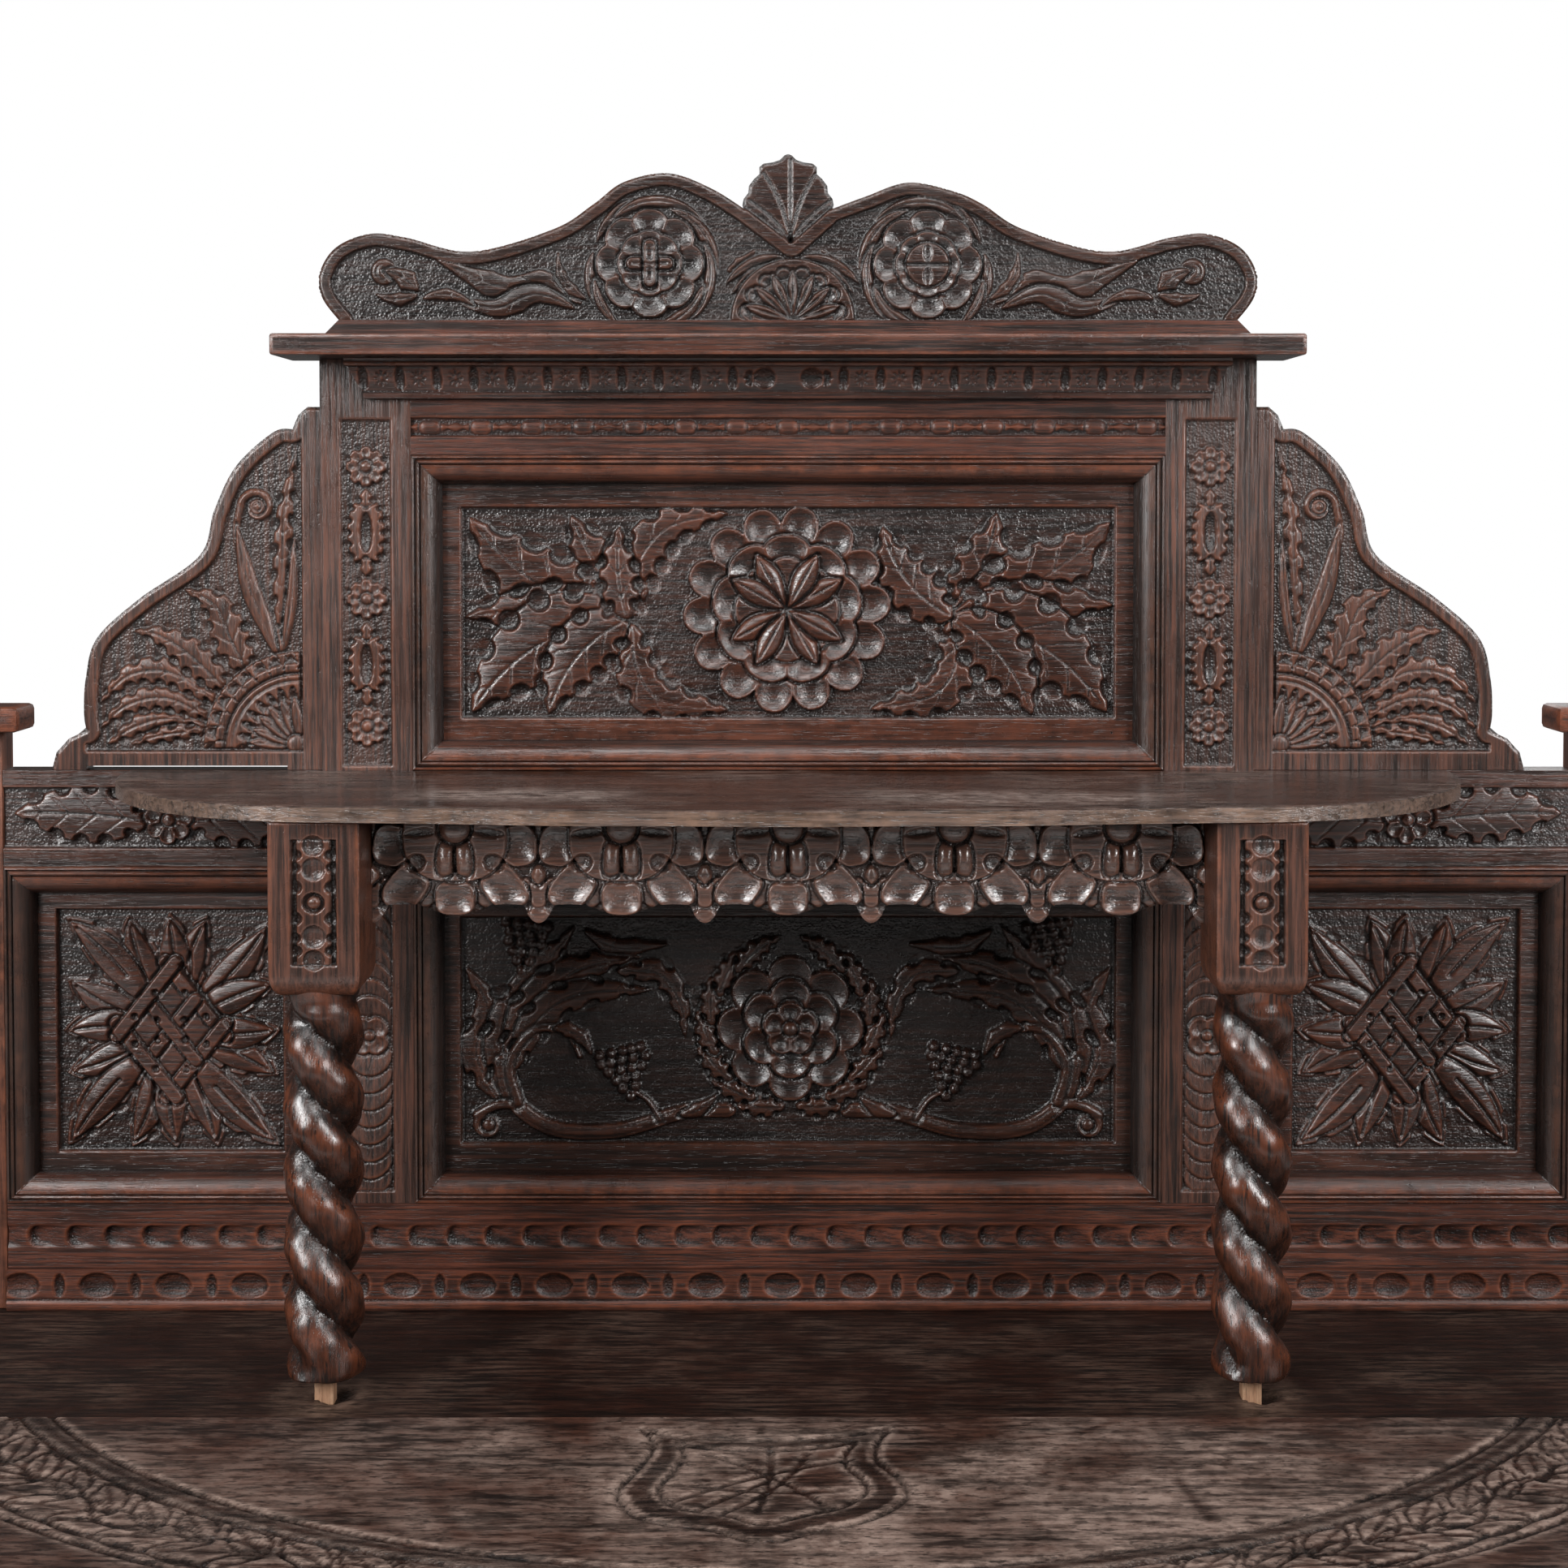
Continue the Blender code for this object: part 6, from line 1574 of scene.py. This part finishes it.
legSettings = {"across": 716.0, "depth": -235.0, "backDepth": 253.0, "bottom": 125.3, "lowBlock": 235.3,
               "highBlock": 698.7, "top": 873.7, "half": 40.0, "radius": 36.0, "hollow": 14.0, "pitch": 150.0}


def shapeFrontLeg(name, side):
    s = legSettings
    cx, cy, half = side * s["across"], s["depth"], s["half"]
    start, end = s["lowBlock"], s["highBlock"]
    rings = [(start - 4.0, 30.0), (start + 1.0, 31.0), (start + 5.0, 34.0), (start + 9.0, 31.0)]
    rings += [(z, s["radius"]) for z in np.arange(start + 14.0, end - 13.0, 2.6)]
    rings += [(end - 9.0, 31.0), (end - 5.0, 34.0), (end - 1.0, 31.0), (end + 4.0, 30.0)]
    strands = barley(start, end, s["pitch"], s["hollow"])
    parts = [lathe(name + "LegTwist", rings, "twistOak", cx, cy, strands, 72)]
    for bottom, top in ((s["bottom"], start), (end, s["top"])):
        low, high = [cx - half, cy - half, bottom], [cx + half, cy + half, top]
        parts.append(plainBoard(name + "LegBlock", None, "stileOak", 3.0, low, high))
    print("leg shaped:", name)
    return mergeParts(parts, name + "FrontLeg", "front_leg_" + name)


footSettings = {"radius": 48.0, "height": 85.0,
                "profile": [(0.0, 0.60), (0.02, 0.66), (0.10, 0.88), (0.20, 0.97), (0.30, 1.0), (0.42, 1.0),
                            (0.55, 0.97), (0.66, 0.88), (0.74, 0.78), (0.78, 0.68), (0.82, 0.66),
                            (0.90, 0.70), (0.96, 0.70), (1.0, 0.66)]}


def shapeFoot(name, cx, cy):
    s = footSettings
    rings = [(share * s["height"], part * s["radius"]) for share, part in s["profile"]]
    foot = lathe(name + "BunFoot", rings, "twistOak", cx, cy, None, 48)
    return mergeParts([foot], name + "BunFoot", "foot_" + name)


knobSettings = {"radius": 18.0, "length": 26.0, "face": 269.0, "height": 800.4, "across": 353.0,
                "profile": [(0.0, 0.72), (0.12, 0.74), (0.20, 0.58), (0.30, 0.48), (0.40, 0.60), (0.52, 0.90),
                            (0.62, 0.99), (0.72, 1.0), (0.84, 0.90), (0.92, 0.70), (1.0, 0.28)]}


def shapeKnob(name, side):
    s = knobSettings
    rings = [(s["face"] + share * s["length"], part * s["radius"]) for share, part in s["profile"]]
    knob = lathe(name + "Knob", rings, "twistOak", side * s["across"], s["height"], None, 40, "out")
    return mergeParts([knob], name + "TurnedKnob", "drawer_" + name + "_knob", "drawer_" + name)


# panel mouldings: two fillets and a roll, mitred at the corners

mouldingSettings = {
    "face": 263.0, "back": 276.7, "roll": (16.2, 16.6),
    "fillets": [(0.0, 1.0), (0.8, 2.4), (2.3, 2.6), (3.3, 1.0), (4.2, 2.8), (5.6, 3.8), (7.0, 3.2),
                (7.8, 1.2), (8.6, 3.2)],
    "places": (0.0, 0.004, 0.012, 0.1, 0.22, 0.35, 0.5, 0.65, 0.78, 0.9, 0.988, 0.996),
}


def shapeMoulding(name, node):
    s = mouldingSettings
    low, high = corners(node)
    wide, fall = s["roll"]
    startIn, startOut = s["fillets"][-1]
    roll = []
    for a in np.linspace(0.12, np.pi / 2, 9):
        roll.append((startIn + wide * math.sin(a), startOut - fall * (1 - math.cos(a))))
    behind = s["face"] - s["back"] + 0.3
    profile = s["fillets"] + roll + [(startIn + wide, behind), (0.0, behind)]
    # wear, and dirt with painted shade, from fillet to fillet, then over the roll to the back, darkest on the
    # roll's inner side
    wearBy = [0.8, 0.8, 0.7, 0.0, 0.5, 0.9, 0.4, 0.0, 0.5, 0.9, 0.8, 0.4, 0.2, 0.1, 0.1] + [0.0] * 5
    recessBy = [0.1, 0.0, 0.1, 0.9, 0.3, 0.0, 0.2, 0.9, 0.3] + [0.0] * 5 + [0.1, 0.4, 0.8, 1.0, 1.0, 1.0]
    places = s["places"]
    deselectAll()
    bpy.ops.mesh.primitive_torus_add(major_segments=4 * len(places), minor_segments=len(profile),
                                     major_radius=1.0, minor_radius=0.2)
    piece = bpy.context.object
    piece.name = piece.data.name = name
    co, wear, recess = [], [], []
    for side in range(4):
        for place in places:
            for (inset, out), worn, dirtAndShade in zip(profile, wearBy, recessBy):
                ends = [(low[0] + inset, low[2] + inset), (high[0] - inset, low[2] + inset),
                        (high[0] - inset, high[2] - inset), (low[0] + inset, high[2] - inset)]
                start, end = ends[side], ends[(side + 1) % 4]
                x, z = (a + (b - a) * place for a, b in zip(start, end))
                co.append((x, s["face"] - out, z))
                wear.append(worn)
                recess.append(1.0 if place == 0.0 else dirtAndShade)
    piece.data.vertices.foreach_set("co", (np.array(co) * mm).ravel())
    setAttribute(piece.data, "wear", np.array(wear))
    setAttribute(piece.data, "recess", np.array(recess))
    bpy.ops.object.mode_set(mode="EDIT")
    bpy.ops.mesh.select_all(action="SELECT")
    bpy.ops.mesh.normals_make_consistent(inside=False)
    bpy.ops.object.mode_set(mode="OBJECT")
    bpy.ops.object.shade_smooth_by_angle(angle=math.radians(40))
    fitPiece(piece, node, "mouldOak")
    piece.data.materials.append(finishes["mouldStileOak"])
    ring = np.arange(4 * len(places)).repeat(len(profile)) // len(places) % 2
    upright = np.array([ring[min(face.vertices[:])] for face in piece.data.polygons], dtype=np.int32)
    piece.data.polygons.foreach_set("material_index", upright)
    print("moulding shaped:", name)
    return piece


# table top: a worn front board with an incised shield in a leafy band, and a dark back board

tableSettings = {
    # the leafy frieze runs between two pairs of lines, each an oval round the back edge
    "bandReach": ((664.0, 514.0), (643.0, 494.0), (782.0, 572.0), (768.0, 560.0)), "bandMiddle": (0.0, 263.0),
    "shield": [(-109, 2), (-100, -31), (-111, -75), (-121, -109), (-110, -142), (-90, -156), (-50, -169),
               (-17, -187), (26, -166), (58, -150), (83, -118), (81, -88), (65, -53), (67, -21), (75, 4),
               (48, -8), (-10, -17), (-77, -12), (-109, 2)],
    "strokes": [((-62, -42), (24, -128), 0.06), ((-46, -142), (14, -42), -0.08),
                ((-84, -126), (46, -52), 0.05), ((-62, -136), (-16, -90), 0.0),
                ((-14, -34), (-22, -140), 0.04), ((-70, -96), (40, -104), -0.06)],
    "stains": [((280, -90), (292, -154), 5.0), ((180, -13), (222, -3), 3.0), ((222, -3), (252, 19), 3.5),
               ((-301, -28), (-222, -178), 8.0), ((-262, -24), (-236, -12), 4.0),
               ((60, -60), (110, -76), 7.0), ((340, -30), (420, -52), 9.0), ((-330, -40), (-240, -62), 7.0)],
    "pegs": (-363.0, 363.0), "pegDepth": 68.0, "frontCell": (2.8, 2.5), "backCell": 4.8,
}


def tableEdge(relief, away):
    relief["h"] -= 3.0 * (1.0 - ramp(away - 2.0, 7.0)) + 1.2 * np.exp(-(((away - 11.0) / 1.2) ** 2))


def carveFrontBoard():
    s = tableSettings
    low, high = corners("top_front_board")
    relief = newRelief(spread(low[0], (high[0], s["frontCell"][0])),
                       spread(low[1], (high[1], s["frontCell"][1])))
    x, y = relief["x"], relief["z"]
    relief["level"] = -0.2
    shield, heart = smoothPath(s["shield"], 6), np.array([-17.0, -85.0])
    rings = [insideOutline(x, y, heart + (shield - heart) * share) for share in (0.92, 0.78)]
    for share, deep in ((1.0, 2.6), (0.72, 2.2)):
        cutLine(relief, heart + (shield - heart) * share, 1.9, deep)
    for start, end, bow in s["strokes"]:
        cutLine(relief, curve(start, end, bow), 2.3, 1.5)
    mx, my = s["bandMiddle"]
    turn = np.linspace(0.0, np.pi, 90)
    ovals = []
    for wide, deep in s["bandReach"]:
        ovals.append(1.0 - np.hypot((x - mx) / wide, (y - my) / deep))
        cutLine(relief, np.stack([mx + wide * np.cos(turn), my - deep * np.sin(turn)], axis=1), 2.1, 2.6)
    strip = ((ovals[0] > 0) & (ovals[1] < 0)) | (rings[0] & ~rings[1])
    frieze = (ovals[0] < 0) & (ovals[3] > 0)

    def onFrieze(angle, share):
        angle = math.radians(angle)
        wide, deep = (a + (b - a) * share for a, b in zip(s["bandReach"][0], s["bandReach"][3]))
        return (mx + wide * math.cos(angle), my - deep * math.sin(angle))
    for lean in (-1, 1):
        # a waving stalk with a leaf on each side of it at every step
        sway = [0.5 + 0.22 * math.sin(1.6 * step) for step in range(19)]
        stalk = [onFrieze(90 + lean * (4 + 4 * step), share) for step, share in enumerate(sway)]
        cutLine(relief, smoothPath(stalk, 5), 1.9, 1.7)
        for step in range(18):
            angle = 90 + lean * (5 + 4 * step)
            for start, end in ((0.5, 0.06), (0.5, 0.94)):
                root, tip = onFrieze(angle, start), onFrieze(angle + lean * 5.6, end)
                for bow in (-0.24, 0.0, 0.24):
                    cutLine(relief, curve(root, tip, bow), 1.5, 1.6 if bow else 0.9)
        for cx, cy, radius, start in ((742, -232, 26, 40), (752, -150, 20, 120)):
            cutLine(relief, coil((lean * cx, cy), radius, lean * 1.4, start, 48), 1.9, 1.6)
    relief["ground"] = np.maximum(np.clip(-relief["h"] / 1.7, 0, 1), 0.75 * strip)
    away = np.minimum(np.minimum(x - low[0], high[0] - x), y - low[1])
    tableEdge(relief, away)
    relief["h"] += 0.35 * np.sin(x * 0.008 + 1.0) * np.sin(y * 0.017 + 0.6)
    cloud = blurred(blurred(np.random.default_rng(5).normal(size=x.shape), 9), 4)
    cloud = np.clip(0.5 + cloud / (2.2 * cloud.std()), 0.0, 1.0)
    worn = (0.05 + 1.0 * cloud) * np.clip(0.95 + x / 800.0, 0.35, 1.0) * np.clip((40.0 - y) / 60.0, 0.35, 1.0)
    worn *= np.where(strip, 0.1, np.where(frieze | (ovals[3] < 0), 0.22, 1.0))
    worn += 0.55 * np.clip((relief["h"] - blurred(relief["h"], 1)) / 0.35, 0.0, 1.0)
    for start, end, half in s["stains"]:
        distance = nearestOnPath(x, y, np.array([start, end], float))[0]
        worn *= 1.0 - 0.85 * np.exp(-((distance / half) ** 2))
    print("front board carved")
    return raiseBoard(relief, "wornFrontBoard", "top_front_board", "tableOak", high[2], low[2], "top",
                      hollows=0.0, extraWearAndHighlight=worn + 0.4 * np.exp(-((away / 6.0) ** 2)))


def shapeBackBoard():
    s = tableSettings
    low, high = corners("top_back_board")
    relief = newRelief(spread(low[0], (high[0], s["backCell"])), spread(low[1], (high[1], s["backCell"])))
    x, y = relief["x"], relief["z"]
    worn = np.zeros(x.shape)
    for px in s["pegs"]:
        dx, dy = x - px, y - s["pegDepth"]
        ring = 0.75 + 0.25 * np.sin(3.0 * np.arctan2(dy, dx))
        worn += 0.9 * (1.0 - ramp(np.hypot(dx, dy) - 44.0, 26.0)) * ring
        hollow = 1.0 - ramp(np.hypot(dx - 8.0, dy) - 13.0, 4.0)
        relief["h"] -= 4.5 * hollow
        relief["ground"] = np.maximum(relief["ground"], hollow)
    tableEdge(relief, np.minimum(np.minimum(x - low[0], high[0] - x), high[1] - y))
    print("back board shaped")
    return raiseBoard(relief, "darkBackBoard", "top_back_board", "tableBackOak", high[2], low[2], "top",
                      hollows=0.0, extraWearAndHighlight=worn)


# drawer fronts: a row of thumb scoops inside a cut border

drawerSettings = {"cell": (1.9, 1.5), "border": 13.0, "pitch": 32.0, "scoop": (12.0, 26.0, 3.4), "scoops": 9,
                  "petals": 36.0}


def carveDrawerFront(name):
    s = drawerSettings
    low, high = corners("drawer_" + name + "_front")
    relief = newRelief(spread(low[0], (high[0], s["cell"][0])), spread(low[2], (high[2], s["cell"][1])))
    x, z = relief["x"], relief["z"]
    middle, height = 0.5 * (low[0] + high[0]), 0.5 * (low[2] + high[2])
    away = np.minimum(np.minimum(x - low[0], high[0] - x), np.minimum(z - low[2], high[2] - z))
    relief["h"] -= 1.2 * (1.0 - ramp(away - 0.8, 2.6)) + 1.4 * np.exp(-(((away - s["border"]) / 1.1) ** 2))
    wide, tall, depth = s["scoop"]
    for step in range(-s["scoops"], s["scoops"] + 1):
        if abs(step) > 1:
            gouge(relief, middle + step * s["pitch"], height, wide, tall, depth)
    gougedPetals(relief, middle, height, s["petals"])
    relief["ground"] = np.clip(-relief["h"] / 2.6, 0, 0.6)
    print("drawer front carved:", name)
    drawer = "drawer_" + name
    return raiseBoard(relief, name + "DrawerFront", drawer + "_front", "railOak", low[1], high[1],
                      body=drawer)


def gougedPetals(relief, cx, cz, reach):
    # eight gouged petals round the knob
    for step in range(8):
        angle = math.radians(45.0 * step)
        place = (cx + 0.68 * reach * math.cos(angle), cz + 0.68 * reach * math.sin(angle))
        gouge(relief, place[0], place[1], 11.0, 5.5, 2.4, 45.0 * step)


addCamera()
addLamps()
paleWorld()
paleFloor()
carveUpperPanel()
carveCrest()
carveUpperRail()
carveCornice()
carveCentrePanel()
carveBottomRail()
carvePlinth()
carveApron()
shapeShelf()
carveFrontBoard()
shapeBackBoard()
for side, name in ((-1, "left"), (1, "right")):
    carveWing(name, side)
    carveStile(name, side)
    carveSidePanel(name, side)
    carveSideRail(name, side)
    shapeColumn(name, side)
    plainBoard(name + "Dowel", "column_dowel_" + name, "pegWood", 1.2)
    shapeFrontLeg(name, side)
    for end, depth in (("front_", "depth"), ("back_", "backDepth")):
        shapeFoot(end + name, side * legSettings["across"], legSettings[depth])
    shapeKnob(name, side)
    carveDrawerFront(name)
    plainBoard(name + "EndStile", "end_stile_" + name, "stileOak", 1.6)
    plainBoard(name + "EndCap", "end_cap_" + name, "railOak", 4.5)
    plainBoard(name + "SideApron", "side_apron_" + name, "depthOak", 1.5)
for name in ("upper", "centre", "left", "right"):
    shapeMoulding(name + "Moulding", name + "_moulding")
plainBoard("corniceShelf", "cornice_shelf", "mouldOak", 2.2, rim=1.8)
plainBoard("basePlatform", "platform", "railOak", 5.0)

# the rest of the frame keeps its own shape and takes a finish
restFinish = {"back_leg_left": "stileOak", "back_leg_right": "stileOak", "drawer_divider": "stileOak",
              "drawer_runner_left": "depthOak", "drawer_runner_centre": "depthOak",
              "drawer_runner_right": "depthOak", "drawer_left_box": "liningOak",
              "drawer_right_box": "liningOak", "drawer_left_bottom": "liningOak",
              "drawer_right_bottom": "liningOak"}
for name, node in nodes.items():
    node.data.materials.clear()
    node.data.materials.append(finishes[restFinish.get(name, "railOak")])

bpy.context.scene.view_settings.view_transform = "Standard"
